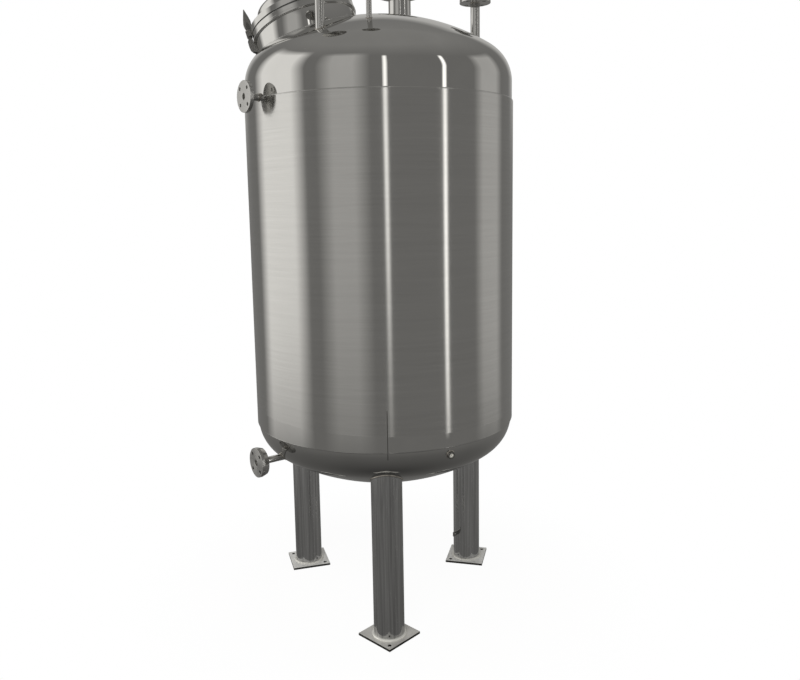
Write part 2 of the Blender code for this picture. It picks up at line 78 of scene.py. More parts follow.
# Shell and dished heads.
SHELL_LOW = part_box("shell")[0].z
SHELL_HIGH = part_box("shell")[1].z
SHELL_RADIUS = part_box("shell")[1].x
SHELL_WALL = 0.005
HEAD_WALL = 0.005
HEAD_RADIUS = 0.5947
CROWN_RADIUS = 0.970
KNUCKLE_RADIUS = 0.170
TOP_TANGENT = 2.370
BOTTOM_TANGENT = 0.863
HEAD_LAP = 0.040
SHELL_STEPS = 288
SHELL_EDGE = 0.001
SHELL_ROW = 0.05
HEAD_KNUCKLE_STEPS = 36
HEAD_CROWN_STEPS = 44
HEAD_SKIRT_GAP = 0.0015

# Legs and base plates. A leg is made overlong, and its end above the trim height is then
# brought to the head.
LEG_CIRCLE = 0.477
LEG_RADIUS = 0.0665
LEG_WALL = 0.004
LEG_STEPS = 96
LEG_EDGE = 0.0005
LEG_ROW = 0.05
LEG_ROWS = 11
LEG_OVERLONG = 1.0
LEG_TRIM = 0.9
LEG_ANGLES = {"front": -90.0, "right": 30.0, "left": 150.0}
PLATE_SIDE = 0.188
PLATE_THICKNESS = 0.010
PLATE_HOLE_REACH = 0.1005
PLATE_HOLE_RADIUS = 0.008
PLATE_HOLE_FLARE = 0.0004
PLATE_EDGE = 0.0008

# Manway: its own frame has +Z along the neck and its origin in the middle of the gasket.
MANWAY_CENTRE = Vector((-0.330, -0.014, 2.6525))
MANWAY_TILT = 19.6
MANWAY_TILT_TOWARDS = 155.0
MANWAY_STEPS = 192
NECK_RADIUS = 0.2285
NECK_WALL = 0.005
NECK_BOTTOM = -0.140
JOINT_HALF = 0.0025
FLANGE_BOTTOM = -0.031
FLANGE_LIP_TOP = -0.021
FLANGE_LIP_RADIUS = 0.2365
FLANGE_RADIUS = 0.2345
FLANGE_EDGE = 0.0012
GASKET_INNER = 0.2235
GASKET_OUTER = 0.2325
GASKET_BULGE = 0.0002
GASKET_SHOULDER = 0.8
COVER_RING_TOP = 0.0274
COVER_RING_BORE = 0.182
COVER_RING_EDGE = 0.0018
DOME_RADIUS = 0.187
DOME_WALL = 0.004
DOME_SIDE = 0.040
DOME_KNUCKLE = 0.025
DOME_CROWN = 0.360
DOME_KNUCKLE_STEPS = 16
DOME_CROWN_STEPS = 20
HANDLE_ROD = 0.006
HANDLE_STEPS = 28
HANDLE_SPAN = 0.130
HANDLE_HEIGHT = 0.048
HANDLE_BEND = 0.018
HANDLE_BEND_STEPS = 10
HANDLE_SEAT = 0.002

# Cover hinge at the back and cover clamp on the outer side, turned about the manway's axis.
HINGE_ANGLE = 250.0
HINGE_REACH = 0.268
HINGE_PIN_RADIUS = 0.005
HINGE_BOSS_RADIUS = 0.012
HINGE_BOSS_STEPS = 40
HINGE_ARM_HALF = 0.010
HINGE_CHEEK_INNER = 0.0115
HINGE_CHEEK_OUTER = 0.0195
HINGE_CHEEK_FOOT = -0.008
HINGE_CHEEK_BACK = 0.014
HINGE_FORK_TOP = -0.004
HINGE_FORK_FOOT = 0.001
HINGE_FORK_REACH = 0.012
HINGE_ARM_START = 0.012
HINGE_ARM_STEP = 0.001
HINGE_EDGE = 0.0007
HINGE_HEAD_RADIUS = 0.008
HINGE_HEAD_THICKNESS = 0.004
HINGE_HEAD_EDGE = 0.0008
CLAMP_ANGLE = 30.0
CLAMP_REACH = 0.2425
CLAMP_SCREW_RADIUS = 0.006
CLAMP_SLOT_RADIUS = 0.0088
CLAMP_TIP = -0.030
CLAMP_TIP_EDGE = 0.001
CLAMP_EAR_REACH = 0.258
CLAMP_HUB_RADIUS = 0.014
CLAMP_HUB_HEIGHT = 0.008
CLAMP_HUB_FOOT_EDGE = 0.001
CLAMP_HUB_TOP_EDGE = 0.002
CLAMP_LUG_HALF = 0.012
CLAMP_LUG_EDGE = 0.0012
CLAMP_EAR_HALF = 0.016
CLAMP_EAR_RISE = 0.001
CLAMP_EAR_EDGE = 0.0010
CLAMP_BLADE_HALF = 0.005
CLAMP_BLADE_EDGE = 0.0028
CLAMP_STEPS = 48
CLAMP_THREAD_PITCH = 0.00175
CLAMP_THREAD_DEPTH = 0.0008
CLAMP_THREAD_TURNS = 18
CLAMP_THREAD_START = 0.0015
CLAMP_THREAD_STEPS = 28
CLAMP_THREAD_SIDES = 6
CLAMP_BLADE = (
    (-0.0120, 0.034),
    (0.0090, 0.034),
    (0.0130, 0.046),
    (0.0140, 0.063),
    (0.0080, 0.085),
    (0.0000, 0.108),
    (-0.0070, 0.128),
    (-0.0100, 0.128),
    (-0.0130, 0.114),
    (-0.0180, 0.094),
    (-0.0220, 0.071),
    (-0.0190, 0.046),
)
CLAMP_LUG = (
    (0.2368, -0.007),
    (0.2550, -0.007),
    (0.2610, -0.018),
    (0.2625, -0.034),
    (0.2605, -0.052),
    (0.2530, -0.064),
    (0.2440, -0.071),
    (0.2288, -0.074),
    (0.2288, -0.032),
    (0.2368, -0.032),
)

# Flanges: outer radius, thickness, bolt circle radius, bolt hole radius, bolt hole count.
FLANGES = {
    "left_top": (0.069, 0.014, 0.050, 0.008, 4),
    "thin_top": (0.0475, 0.012, 0.034, 0.006, 4),
    "large_top": (0.106, 0.018, 0.088, 0.009, 8),
    "right_top": (0.070, 0.016, 0.050, 0.008, 4),
    "upper_gauge": (0.064, 0.016, 0.0460, 0.007, 4),
    "lower_gauge": (0.064, 0.035, 0.0460, 0.007, 4),
    "outlet": (0.064, 0.016, 0.0460, 0.007, 4),
}
# Tapered backs: radius at the back, thickness of the rim that stays straight.
FLANGE_TAPERS = {"lower_gauge": (0.057, 0.014)}
FLANGE_STEPS = 128
HOLE_STEPS = 40
HOLE_FLARE = 0.0007
HOLE_OVERRUN = 0.01

# Top nozzles: place on the head in x and y, pipe radius, wall, top end of the pipe.
TOP_NOZZLES = {
    "left_top": (-0.228, -0.400, 0.0190, 0.002, 2.735),
    "thin_top": (-0.033, -0.380, 0.0112, 0.002, 2.755),
    "large_top": (0.108, 0.300, 0.0540, 0.004, 2.850),
    "right_top": (0.443, 0.050, 0.0210, 0.003, 2.752),
}
WIDE_PIPE_RADIUS = 0.05
WIDE_PIPE_STEPS = 96
PIPE_STEPS = 64
PIPE_EDGE = 0.0006

# Level gauge nozzles: height, inner end of the pipe and face of the flange from the axis.
GAUGE_ANGLE = 215.0
GAUGE_PIPE_RADIUS = 0.0145
GAUGE_PIPE_WALL = 0.002
GAUGE_NOZZLES = {
    "upper_gauge": (2.286, 0.580, 0.666),
    "lower_gauge": (0.754, 0.525, 0.681),
}

# Bottom outlet and plugged coupling.
OUTLET_RADIUS = 0.024
OUTLET_WALL = 0.003
OUTLET_END = 0.460
OUTLET_INSIDE = 0.590
OUTLET_STEPS = 72
COUPLING_ANGLE = -63.2
COUPLING_SLOPE = 14.8
COUPLING_RADIUS = 0.0160
COUPLING_BORE = 0.0105
COUPLING_REACH = 0.012
COUPLING_INSIDE = 0.006
COUPLING_EDGE = 0.0010
PLUG_RECESS = 0.002
PLUG_EDGE = 0.0008
PLUG_KEY_RADIUS = 0.0052
PLUG_KEY_DEPTH = 0.008
PLUG_KEY_SIDES = 6

# Lower end of the upright seam, which shows as a dark line of painted shade.
SEAM_ANGLE = -89.25
SEAM_TOP = 1.030
SEAM_END = 0.822
SEAM_STEPS = 48

# How far the line of a bead stands out from its corner, and up or down from it.
HEAD_SEAM_OUT = 0.0012
HEAD_SEAM_UP = 0.0008
FOOT_WELD_OUT = 0.0020
FOOT_WELD_UP = 0.0012
COPE_WELD_DOWN = 0.0010
LIP_WELD_DOWN = 0.0006
DOME_WELD_UP = 0.0010
HANDLE_WELD_UP = 0.0006
PIPE_STAND = 0.0005
RING_STAND = 0.0008

# Beads: radius against the ordinary bead's, depth of the ripples against the bead's radius,
# and the ripples' pitch where it isn't the ordinary one.
BEADS = {
    "head_seams": (1.0625, 0.01, 0.0200),
    "upright_seam": (0.40625, 0.08, None),
    "leg_foot_welds": (2.1, 0.16, 0.0070),
    "leg_top_welds": (1.1, 0.10, None),
    "nozzle_welds": (0.8, 0.10, 0.0028),
    "manway_weld": (1.2, 0.06, None),
    "manway_ring_weld": (0.7, 0.06, None),
    "cover_weld": (0.8, 0.06, None),
    "handle_welds": (0.7, 0.10, None),
}
# Points along each ripple, how often a bead's unevenness repeats in a metre, its depth
# against the ripples', and the bead's least thickness.
RIPPLE_POINTS = 4.0
BEAD_NOISE = 90.0
BEAD_DRIFT = 2.0
BEAD_LEAST = 0.9
BEAD_SIDES = 10
# Points round the lines of the beads.
HEAD_SEAM_POINTS = 256
LEG_WELD_POINTS = 120
TOP_NOZZLE_POINTS = 72
GAUGE_POINTS = 56
OUTLET_POINTS = 64
MANWAY_WELD_POINTS = 240
RIM_WELD_POINTS = 220
HANDLE_WELD_POINTS = 40

# Earthing lug on the right leg.
LUG_ANGLE = 226.0
LUG_HEIGHT = 0.155
LUG_SIZE = (0.042, 0.006, 0.022)
LUG_HOLE = 0.0050
LUG_HOLE_PLACE = 0.7
LUG_HOLE_STEPS = 36
LUG_EDGE = 0.0008

# Where cutters start and end in their frames, inside the tank and outside it.
TOP_CUT = (2.3, 2.9)
MANWAY_CUT = (-0.30, 0.10)
CLAMP_LUG_CUT = (-0.12, 0.02)
CLAMP_EAR_CUT = (-0.02, 0.06)
HINGE_FORK_CUT = (-0.04, 0.04)
HINGE_ARM_CUT = (-0.03, 0.03)
GAUGE_CUT_START = 0.4
OUTLET_CUT = (-0.7, -0.4)
COUPLING_CUT = (0.1, 0.3)
LUG_CUT = (-0.02, 0.02)

BODY = "tank"
COVER = "cover"

# UV map of a turned piece, in metres.
TURNED_MAP = "turned"

# Kinds of sockets in the node groups.
NUMBER = "NodeSocketFloat"
COUNT = "NodeSocketInt"
VECTOR = "NodeSocketVector"
GEOMETRY = "NodeSocketGeometry"
MATERIAL = "NodeSocketMaterial"

# Sockets of a colour Mix node, which repeats its names for numbers and vectors.
MIX_SHARE = 0
MIX_FIRST = 6
MIX_SECOND = 7
MIX_RESULT = 2

# Noises: how often they repeat in a metre, or in a line of grain, and their detail.
PATCHES = (9.0, 3.0)
SPECKS = (160.0, 2.0)
SWELLS = (4.2, 1.0)
FINE_LINES = (1.0, 2.0)
BROAD_LINES = (0.17, 1.0)
FINE_SHARE = 0.6
RUBBER_SPECKS = (420.0, 3.0)
RUBBER_DUST = (25.0, 2.0)
# Rubber: how much lighter its dust is, its roughness, and the strength and depth of its bump.
DUSTY = 2.2
RUBBER_ROUGHNESS = 0.62
RUBBER_BUMP = (0.4, 0.0003)

# Steels: name, colour or the property that holds it, roughness, haze and waviness of the
# sheet, and what else sets it apart.
STEELS = (
    ("mirror_polished_steel", "steel", 0.02, 0.03, 0.00008, {}),
    (
        "brushed_shell_steel", "steel", 0.16, 0.03, 0.00008,
        {"across": 300.0, "along": 4.0, "anisotropy": 1.0, "shade": 0.12},
    ),
    (
        "polished_leg_steel", "leg_steel", 0.12, 0.12, 0.00020,
        {"across": 2.0, "along": 110.0, "depth": 0.00012, "shade": 0.95},
    ),
    ("polished_pipe_steel", "steel", 0.09, 0.10, 0.00015, {}),
    (
        "turned_flange_steel", "steel", 0.20, 0.10, 0.00005,
        {"across": 2600.0, "along": 3.0, "depth": 0.00001, "anisotropy": 0.6, "shade": 0.08},
    ),
    # Two copies of one plate steel: a paler one with painted light for the left and right plates, a
    # darker one with painted shade for the front plate.
    ("plate_steel", (0.84, 0.83, 0.80), 0.36, 0.25, 0.00010, {"shade": 0.22, "metallic": 0.35}),
    ("dull_plate_steel", (0.66, 0.65, 0.62), 0.34, 0.25, 0.00010, {"shade": 0.30, "metallic": 0.6}),
    # Dark steel of painted shade: on the base plates' sides and anchor hole walls, and on the upright
    # seam.
    ("cut_edge_steel", (0.09, 0.088, 0.08), 0.42, 0.10, 0.00010, {"shade": 0.10}),
    ("bright_weld_steel", (0.86, 0.85, 0.80), 0.34, 0.20, 0.00010, {"shade": 0.16, "metallic": 0.6}),
    ("cast_clamp_steel", (0.34, 0.335, 0.32), 0.20, 0.20, 0.00010, {"shade": 0.10}),
    ("weld_steel", "weld_tint", 0.24, 0.30, 0.00010, {"shade": 0.25}),
    ("ground_seam_steel", "steel", 0.14, 0.20, 0.00010, {"shade": 0.12}),
)


class TankSizes(bpy.types.PropertyGroup):
    brushed_top: FloatProperty(
        name="Brushed band top",
        description="Height at which the brushed shell ends below the polished top head",
        default=2.284,
        unit="LENGTH",
    )
    brushed_low: FloatProperty(
        name="Brushed band bottom",
        description="Height on the tank's axis at which the brushed band starts",
        default=0.9227,
        unit="LENGTH",
    )
    brushed_slope: FloatProperty(
        name="Brushed band slope",
        description="Rise of the band's lower edge for each metre towards +X",
        default=-0.0298,
    )
    edge_round: FloatProperty(
        name="Edge rounding",
        description="How far machined edges are rounded off",
        default=0.0010,
        unit="LENGTH",
    )
    weld_radius: FloatProperty(
        name="Weld radius",
        description="Half the width of an ordinary weld bead",
        default=0.0032,
        unit="LENGTH",
    )
    weld_pitch: FloatProperty(
        name="Weld ripple",
        description="Distance from one ripple of a weld bead to the next",
        default=0.0035,
        unit="LENGTH",
    )


class TankFinish(bpy.types.PropertyGroup):
    steel: FloatVectorProperty(
        name="Steel",
        description="Colour of clean polished stainless steel",
        subtype="COLOR",
        default=(0.62, 0.615, 0.60),
    )
    leg_steel: FloatVectorProperty(
        name="Leg steel",
        description="Colour of the pipe legs",
        subtype="COLOR",
        default=(0.60, 0.59, 0.56),
    )
    weld_tint: FloatVectorProperty(
        name="Weld tint",
        description="Straw colour that heat leaves beside a weld",
        subtype="COLOR",
        default=(0.58, 0.55, 0.50),
    )
    rubber: FloatVectorProperty(
        name="Rubber",
        description="Colour of the manway gasket",
        subtype="COLOR",
        default=(0.018, 0.018, 0.017),
    )


class TankStudio(bpy.types.PropertyGroup):
    strength: FloatProperty(
        name="Studio strength",
        description="Brightness of the studio that the steel mirrors",
        default=1.0,
    )
    floor: FloatVectorProperty(
        name="Floor",
        description="Colour of the plain pale floor",
        subtype="COLOR",
        default=(0.80, 0.78, 0.74),
    )


def dish(radius, crown, knuckle, knuckle_steps, crown_steps):
    """Outer side of a dished end, from its tangent line at height 0 to its middle."""
    reach = radius - knuckle
    drop = math.sqrt((crown - knuckle) ** 2 - reach**2)
    turn_over = math.degrees(math.atan2(drop, reach))
    side = arc((reach, 0.0), knuckle, 0.0, turn_over, knuckle_steps)
    top = arc((0.0, -drop), crown, turn_over, 90.0, crown_steps)
    top[-1] = (0.0, top[-1][1])
    return side + top[1:]


def arc(centre, radius, start, end, steps):
    """Points on an arc, in degrees from +X towards +Z, both ends included."""
    points = []
    for step in range(steps + 1):
        angle = math.radians(start + (end - start) * step / steps)
        points.append((centre[0] + radius * math.cos(angle), centre[1] + radius * math.sin(angle)))
    return points


def head_outline(offset=0.0):
    radii = [radius + offset for radius in (HEAD_RADIUS, CROWN_RADIUS, KNUCKLE_RADIUS)]
    return dish(*radii, HEAD_KNUCKLE_STEPS, HEAD_CROWN_STEPS)


TOP_SIDE = [(radius, TOP_TANGENT + height) for radius, height in head_outline()]
BOTTOM_SIDE = [(radius, BOTTOM_TANGENT - height) for radius, height in head_outline()]


def tank_radius(height):
    """Outer radius of the tank at a height, or a negative number past its ends."""
    if SHELL_LOW <= height <= SHELL_HIGH:
        return SHELL_RADIUS
    side = TOP_SIDE if height > SHELL_HIGH else BOTTOM_SIDE
    for (near_r, near_z), (far_r, far_z) in zip(side, side[1:]):
        low, high = sorted((near_z, far_z))
        if low <= height <= high and high > low:
            share = (height - near_z) / (far_z - near_z)
            return near_r + share * (far_r - near_r)
    return HEAD_RADIUS if BOTTOM_TANGENT < height < TOP_TANGENT else -1.0


def bottom_height(point):
    """Height of the bottom head's outer side above or below a point."""
    distance = math.hypot(point.x, point.y)
    for (near_r, near_z), (far_r, far_z) in zip(BOTTOM_SIDE, BOTTOM_SIDE[1:]):
        if far_r <= distance <= near_r:
            share = (near_r - distance) / (near_r - far_r)
            return near_z + share * (far_z - near_z)
    return BOTTOM_SIDE[0][1]


def inside_tank(point):
    return math.hypot(point.x, point.y) < tank_radius(point.z)


def meeting_line(place, radius, inner, outer, count):
    """Ring of points where a pipe along a frame's +Z comes out of the tank."""
    ring = []
    for step in range(count):
        low, high = inner, outer
        for _ in range(HALVINGS):
            middle = (low + high) / 2.0
            point = on_circle(place, radius, middle, step / count)
            low, high = (middle, high) if inside_tank(point) else (low, middle)
        ring.append(on_circle(place, radius, low, step / count))
    return ring


def on_circle(place, radius, height, share):
    """Point on a circle about a frame's +Z, by its share of the way round."""
    angle = math.tau * share
    return place @ Vector((radius * math.cos(angle), radius * math.sin(angle), height))


def circle(place, radius, height, count):
    return [on_circle(place, radius, height, step / count) for step in range(count)]


def shift(x, y, z):
    return Matrix.Translation((x, y, z))


def tip(degrees, axis):
    return Matrix.Rotation(math.radians(degrees), 4, axis)


def turn(degrees):
    return tip(degrees, "Z")


def manway_frame():
    return shift(*MANWAY_CENTRE) @ turn(MANWAY_TILT_TOWARDS) @ tip(MANWAY_TILT, "Y")


def gauge_frame(height):
    return shift(0.0, 0.0, height) @ turn(GAUGE_ANGLE) @ tip(90.0, "Y")


def coupling_frame():
    centre = shift(HEAD_RADIUS - KNUCKLE_RADIUS, 0.0, BOTTOM_TANGENT)
    return turn(COUPLING_ANGLE) @ centre @ tip(90.0 + COUPLING_SLOPE, "Y")


def leg_frame(degrees):
    return turn(degrees) @ shift(LEG_CIRCLE, 0.0, 0.0)


def clamp_frame():
    """Frame of the clamp's screw."""
    return manway_frame() @ turn(CLAMP_ANGLE) @ shift(CLAMP_REACH, 0.0, 0.0)


def dome_outline(offset=0.0):
    radii = [radius + offset for radius in (DOME_RADIUS, DOME_CROWN, DOME_KNUCKLE)]
    return dish(*radii, DOME_KNUCKLE_STEPS, DOME_CROWN_STEPS)


def dome_height(distance):
    """Height of the cover's crown at a distance from the manway's axis."""
    top = COVER_RING_TOP + GAP + DOME_SIDE + dome_outline()[-1][1]
    return top - DOME_CROWN + math.sqrt(DOME_CROWN**2 - distance**2)


def link(name, mesh):
    made = bpy.data.objects.new(name, mesh)
    bpy.context.scene.collection.objects.link(made)
    return made


def mesh_piece(name, bm, place, angle=SHARP_ANGLE):
    """Leaves a bmesh as an object, smooth but for its edges."""
    bmesh.ops.recalc_face_normals(bm, faces=bm.faces)
    bm.transform(place)
    mesh = bpy.data.meshes.new(name)
    bm.to_mesh(mesh)
    bm.free()
    mesh.shade_smooth()
    mesh.set_sharp_from_angle(angle=math.radians(angle))
    return link(name, mesh)


def turned(name, outline, steps, place, angle=SHARP_ANGLE):
    """Turns a closed outline of (radius, height) points about Z.

    Its UV map has metres along the outline as U and metres round the axis as V.
    """
    bm = bmesh.new()
    uv = bm.loops.layers.uv.new(TURNED_MAP)
    widest = max(radius for radius, _ in outline)
    lengths = [0.0]
    for near, far in zip(outline, outline[1:]):
        lengths.append(lengths[-1] + math.dist(near, far))
    rings = []
    for radius, height in outline:
        if radius <= ON_AXIS:
            rings.append([bm.verts.new((0.0, 0.0, height))] * steps)
            continue
        ring = []
        for step in range(steps):
            at = math.tau * step / steps
            ring.append(bm.verts.new((radius * math.cos(at), radius * math.sin(at), height)))
        rings.append(ring)
    for index, ring in enumerate(rings):
        before = rings[index - 1]
        near = lengths[index - 1]
        far = lengths[index] if index else near + math.dist(outline[-1], outline[0])
        for step in range(steps):
            after = (step + 1) % steps
            here = math.tau * widest * step / steps
            ahead = math.tau * widest * (step + 1) / steps
            corners = []
            places = []
            for corner, spot in (
                (before[step], (near, here)),
                (before[after], (near, ahead)),
                (ring[after], (far, ahead)),
                (ring[step], (far, here)),
            ):
                if corner not in corners:
                    corners.append(corner)
                    places.append(spot)
            if len(corners) > 2:
                face = bm.faces.new(corners)
                for loop, spot in zip(face.loops, places):
                    loop[uv].uv = spot
    return mesh_piece(name, bm, place, angle)


def rounded(outline, radius, steps):
    """Rounds every corner of a closed outline."""
    made = []
    for index, corner in enumerate(outline):
        here = Vector(corner)
        back = Vector(outline[index - 1]) - here
        ahead = Vector(outline[(index + 1) % len(outline)]) - here
        reach = min(radius, back.length * CORNER_SHARE, ahead.length * CORNER_SHARE)
        first = here + back.normalized() * reach
        last = here + ahead.normalized() * reach
        for step in range(steps + 1):
            share = step / steps
            point = first * (1 - share) ** 2 + here * (2 * share * (1 - share)) + last * share**2
            made.append((point.x, point.y))
    return made


def tube(name, outer, wall, low, high, steps, place, edge=PIPE_EDGE):
    """Pipe along a frame's +Z, or a solid rod where its wall is its whole radius."""
    inner = outer - wall
    if inner <= 0.0:
        outline = [(0.0, low), (outer - edge, low), (outer, low + edge)]
        outline += [(outer, high - edge), (outer - edge, high), (0.0, high)]
        return turned(name, outline, steps, place)
    outline = rounded([(inner, low), (outer, low), (outer, high), (inner, high)], edge, 2)
    return turned(name, outline, steps, place)


def prism(name, outline, half, place, edge=0.0, steps=2):
    """Extrudes an outline of (x, z) points by half to each side along Y, with eased edges."""
    bm = bmesh.new()
    face = bm.faces.new([bm.verts.new((x, -half, z)) for x, z in outline])
    raised = bmesh.ops.extrude_face_region(bm, geom=[face], use_keep_orig=True)
    far = [part for part in raised["geom"] if isinstance(part, bmesh.types.BMVert)]
    bmesh.ops.translate(bm, verts=far, vec=(0.0, 2.0 * half, 0.0))
    made = mesh_piece(name, bm, place)
    ease(made, edge, steps)
    return made


def block(name, low, high, place):
    """Box between two corners of a frame."""
    middle = (low[1] + high[1]) / 2.0
    half = (high[1] - low[1]) / 2.0
    outline = [(low[0], low[2]), (high[0], low[2]), (high[0], high[2]), (low[0], high[2])]
    return prism(name, outline, half, place @ shift(0.0, middle, 0.0))


def settle(piece):
    """Turns the modifiers' result into a plain mesh."""
    depsgraph = bpy.context.evaluated_depsgraph_get()
    result = bpy.data.meshes.new_from_object(piece.evaluated_get(depsgraph))
    result.name = piece.name
    spent = piece.data
    piece.modifiers.clear()
    piece.data = result
    bpy.data.meshes.remove(spent)
    return piece


def ease(piece, width, steps=2):
    """Rounds off the edges of a solid, and keeps its flat faces flat."""
    if width > 0.0:
        bevel = piece.modifiers.new("eased edges", "BEVEL")
        bevel.width = width
        bevel.segments = steps
        bevel.limit_method = "ANGLE"
        bevel.angle_limit = math.radians(SHARP_ANGLE)
        bevel.harden_normals = True
    return settle(piece)


def drop(piece):
    spent = piece.data
    bpy.data.objects.remove(piece)
    bpy.data.meshes.remove(spent)


def combine(piece, others, operation):
    """Cuts the other shapes out of a piece, or joins them to it, and discards them."""
    for other in others:
        step = piece.modifiers.new(other.name, "BOOLEAN")
        step.operation = operation
        step.solver = "EXACT"
        step.object = other
    settle(piece)
    for other in others:
        drop(other)
    piece.data.shade_smooth()
    piece.data.set_sharp_from_angle(angle=math.radians(SHARP_ANGLE))
    return piece


def drill(name, radius, low, high, place, flare=HOLE_FLARE):
    """Cutter for a round hole whose two mouths are eased."""
    mouth = radius + flare + HOLE_OVERRUN
    below = low - HOLE_OVERRUN
    above = high + HOLE_OVERRUN
    outline = [(0.0, below), (mouth, below), (radius, low + flare)]
    outline += [(radius, high - flare), (mouth, above), (0.0, above)]
    return turned(name, outline, HOLE_STEPS, place)


def plain_drill(name, radius, low, high, place, steps=PIPE_STEPS):
    return turned(name, [(0.0, low), (radius, low), (radius, high), (0.0, high)], steps, place)


def bore_out(piece, name, radius, reach, place, steps=PIPE_STEPS):
    """Drills a round hole from one height of a frame to another."""
    low, high = reach
    return combine(piece, [plain_drill(name, radius, low, high, place, steps)], "DIFFERENCE")


def flatten_faces(piece):
    """Keeps wide flat faces flat beside rounded edges."""
    weigh = piece.modifiers.new("flat faces", "WEIGHTED_NORMAL")
    weigh.keep_sharp = True
    weigh.weight = FLAT_WEIGHT
    return settle(piece)


def finish(piece, material, nodes, body=BODY):
    """Gives a piece its finish, and lets it stand for its solids on their body."""
    if material:
        piece.data.materials.clear()
        piece.data.materials.append(material)
    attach(piece, body)
    if nodes:
        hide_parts(*nodes)
    return piece


def swept(name, route, radius, steps, place):
    """Sweeps a round rod along an open route of (y, z) points."""
    bm = bmesh.new()
    rings = []
    for index, (across, height) in enumerate(route):
        before = Vector(route[max(index - 1, 0)])
        after = Vector(route[min(index + 1, len(route) - 1)])
        along = (after - before).normalized()
        ring = []
        for step in range(steps):
            angle = math.tau * step / steps
            side = radius * math.sin(angle)
            spot = (radius * math.cos(angle), across - along.y * side, height + along.x * side)
            ring.append(bm.verts.new(spot))
        rings.append(ring)
    for first, second in zip(rings, rings[1:]):
        for step in range(steps):
            following = (step + 1) % steps
            bm.faces.new((first[step], first[following], second[following], second[step]))
    bm.faces.new(rings[0])
    bm.faces.new(rings[-1])
    return mesh_piece(name, bm, place)


def node(tree, kind, at, **values):
    """Adds a node and sets its properties."""
    made = tree.nodes.new(kind)
    made.location = at
    for key, value in values.items():
        setattr(made, key, value)
    return made


def fill(made, values):
    """Sets a node's inputs by name."""
    for key, value in values.items():
        made.inputs[key].default_value = value
    return made


def maths(tree, operation, first, second, at, clamp=False):
    """Adds a Math node whose inputs are sockets or numbers, with None for one it lacks."""
    made = node(tree, "ShaderNodeMath", at, operation=operation, use_clamp=clamp)
    for number, value in enumerate((first, second)):
        if isinstance(value, bpy.types.NodeSocket):
            tree.links.new(value, made.inputs[number])
        elif value is not None:
            made.inputs[number].default_value = value
    return made.outputs[0]


def noise(tree, vector, look, at):
    """Adds a noise texture on a vector, from its scale and detail."""
    scale, detail = look
    made = fill(node(tree, "ShaderNodeTexNoise", at), {"Scale": scale, "Detail": detail})
    tree.links.new(vector, made.inputs["Vector"])
    return made.outputs["Fac"]


def open_group(name, kind, inputs, outputs):
    """Starts a node group with named sockets."""
    tree = bpy.data.node_groups.new(name, kind)
    for label, socket_kind, default in inputs:
        socket = tree.interface.new_socket(label, in_out="INPUT", socket_type=socket_kind)
        if default is not None:
            socket.default_value = default
    for label, socket_kind in outputs:
        tree.interface.new_socket(label, in_out="OUTPUT", socket_type=socket_kind)
    return tree, node(tree, "NodeGroupInput", (-1100, 0)), node(tree, "NodeGroupOutput", (1300, 0))


def built(name, builder):
    """A node group, built the first time it is asked for."""
    return bpy.data.node_groups.get(name) or builder()


def polish_group():
    """Sheet that is not quite even, with hazy patches in its polish."""
    tree, entry, out = open_group(
        "polished sheet",
        "ShaderNodeTree",
        [
            ("Vector", VECTOR, None),
            ("Roughness", NUMBER, 0.06),
            ("Haze", NUMBER, 0.05),
            ("Waviness", NUMBER, 0.0002),
        ],
        [("Roughness", NUMBER), ("Height", NUMBER), ("Smudge", NUMBER)],
    )
    vector = entry.outputs["Vector"]
    patches = noise(tree, vector, PATCHES, (-500, 200))
    specks = noise(tree, vector, SPECKS, (-500, 0))
    spread = maths(tree, "MULTIPLY", patches, specks, (-300, 100))
    haze = maths(tree, "MULTIPLY", spread, entry.outputs["Haze"], (-100, 100))
    rough = maths(tree, "ADD", haze, entry.outputs["Roughness"], (100, 100), clamp=True)
    swell = noise(tree, vector, SWELLS, (-500, -250))
    height = maths(tree, "MULTIPLY", swell, entry.outputs["Waviness"], (-100, -250))
    tree.links.new(rough, out.inputs["Roughness"])
    tree.links.new(height, out.inputs["Height"])
    tree.links.new(patches, out.inputs["Smudge"])
    return tree


def grain_group():
    """Fine lines on a UV map: round a turned piece, or up it where Along is the larger."""
    tree, entry, out = open_group(
        "grain",
        "ShaderNodeTree",
        [
            ("Vector", VECTOR, None),
            ("Across", NUMBER, 900.0),
            ("Along", NUMBER, 9.0),
            ("Depth", NUMBER, 0.00001),
        ],
        [("Shade", NUMBER), ("Height", NUMBER)],
    )
    apart = node(tree, "ShaderNodeSeparateXYZ", (-700, 0))
    tree.links.new(entry.outputs["Vector"], apart.inputs[0])
    joined = node(tree, "ShaderNodeCombineXYZ", (-400, 0))
    for axis, label, rise in (("X", "Across", 100), ("Y", "Along", -100)):
        scaled = maths(tree, "MULTIPLY", apart.outputs[axis], entry.outputs[label], (-550, rise))
        tree.links.new(scaled, joined.inputs[axis])
    fine = noise(tree, joined.outputs[0], FINE_LINES, (-200, 100))
    broad = noise(tree, joined.outputs[0], BROAD_LINES, (-200, -100))
    fine_part = maths(tree, "MULTIPLY", fine, FINE_SHARE, (0, 100))
    broad_part = maths(tree, "MULTIPLY", broad, 1.0 - FINE_SHARE, (0, -100))
    shade = maths(tree, "ADD", fine_part, broad_part, (200, 0))
    height = maths(tree, "MULTIPLY", shade, entry.outputs["Depth"], (400, -100))
    tree.links.new(shade, out.inputs["Shade"])
    tree.links.new(height, out.inputs["Height"])
    return tree


def tint(tree, shader, tone, first, second):
    """Gives the shader a colour between two, by a tone."""
    mix = node(tree, "ShaderNodeMix", (-300, 250), data_type="RGBA")
    mix.inputs[MIX_FIRST].default_value = (*first, 1.0)
    mix.inputs[MIX_SECOND].default_value = (*second, 1.0)
    tree.links.new(tone, mix.inputs[MIX_SHARE])
    tree.links.new(mix.outputs[MIX_RESULT], shader.inputs["Base Color"])


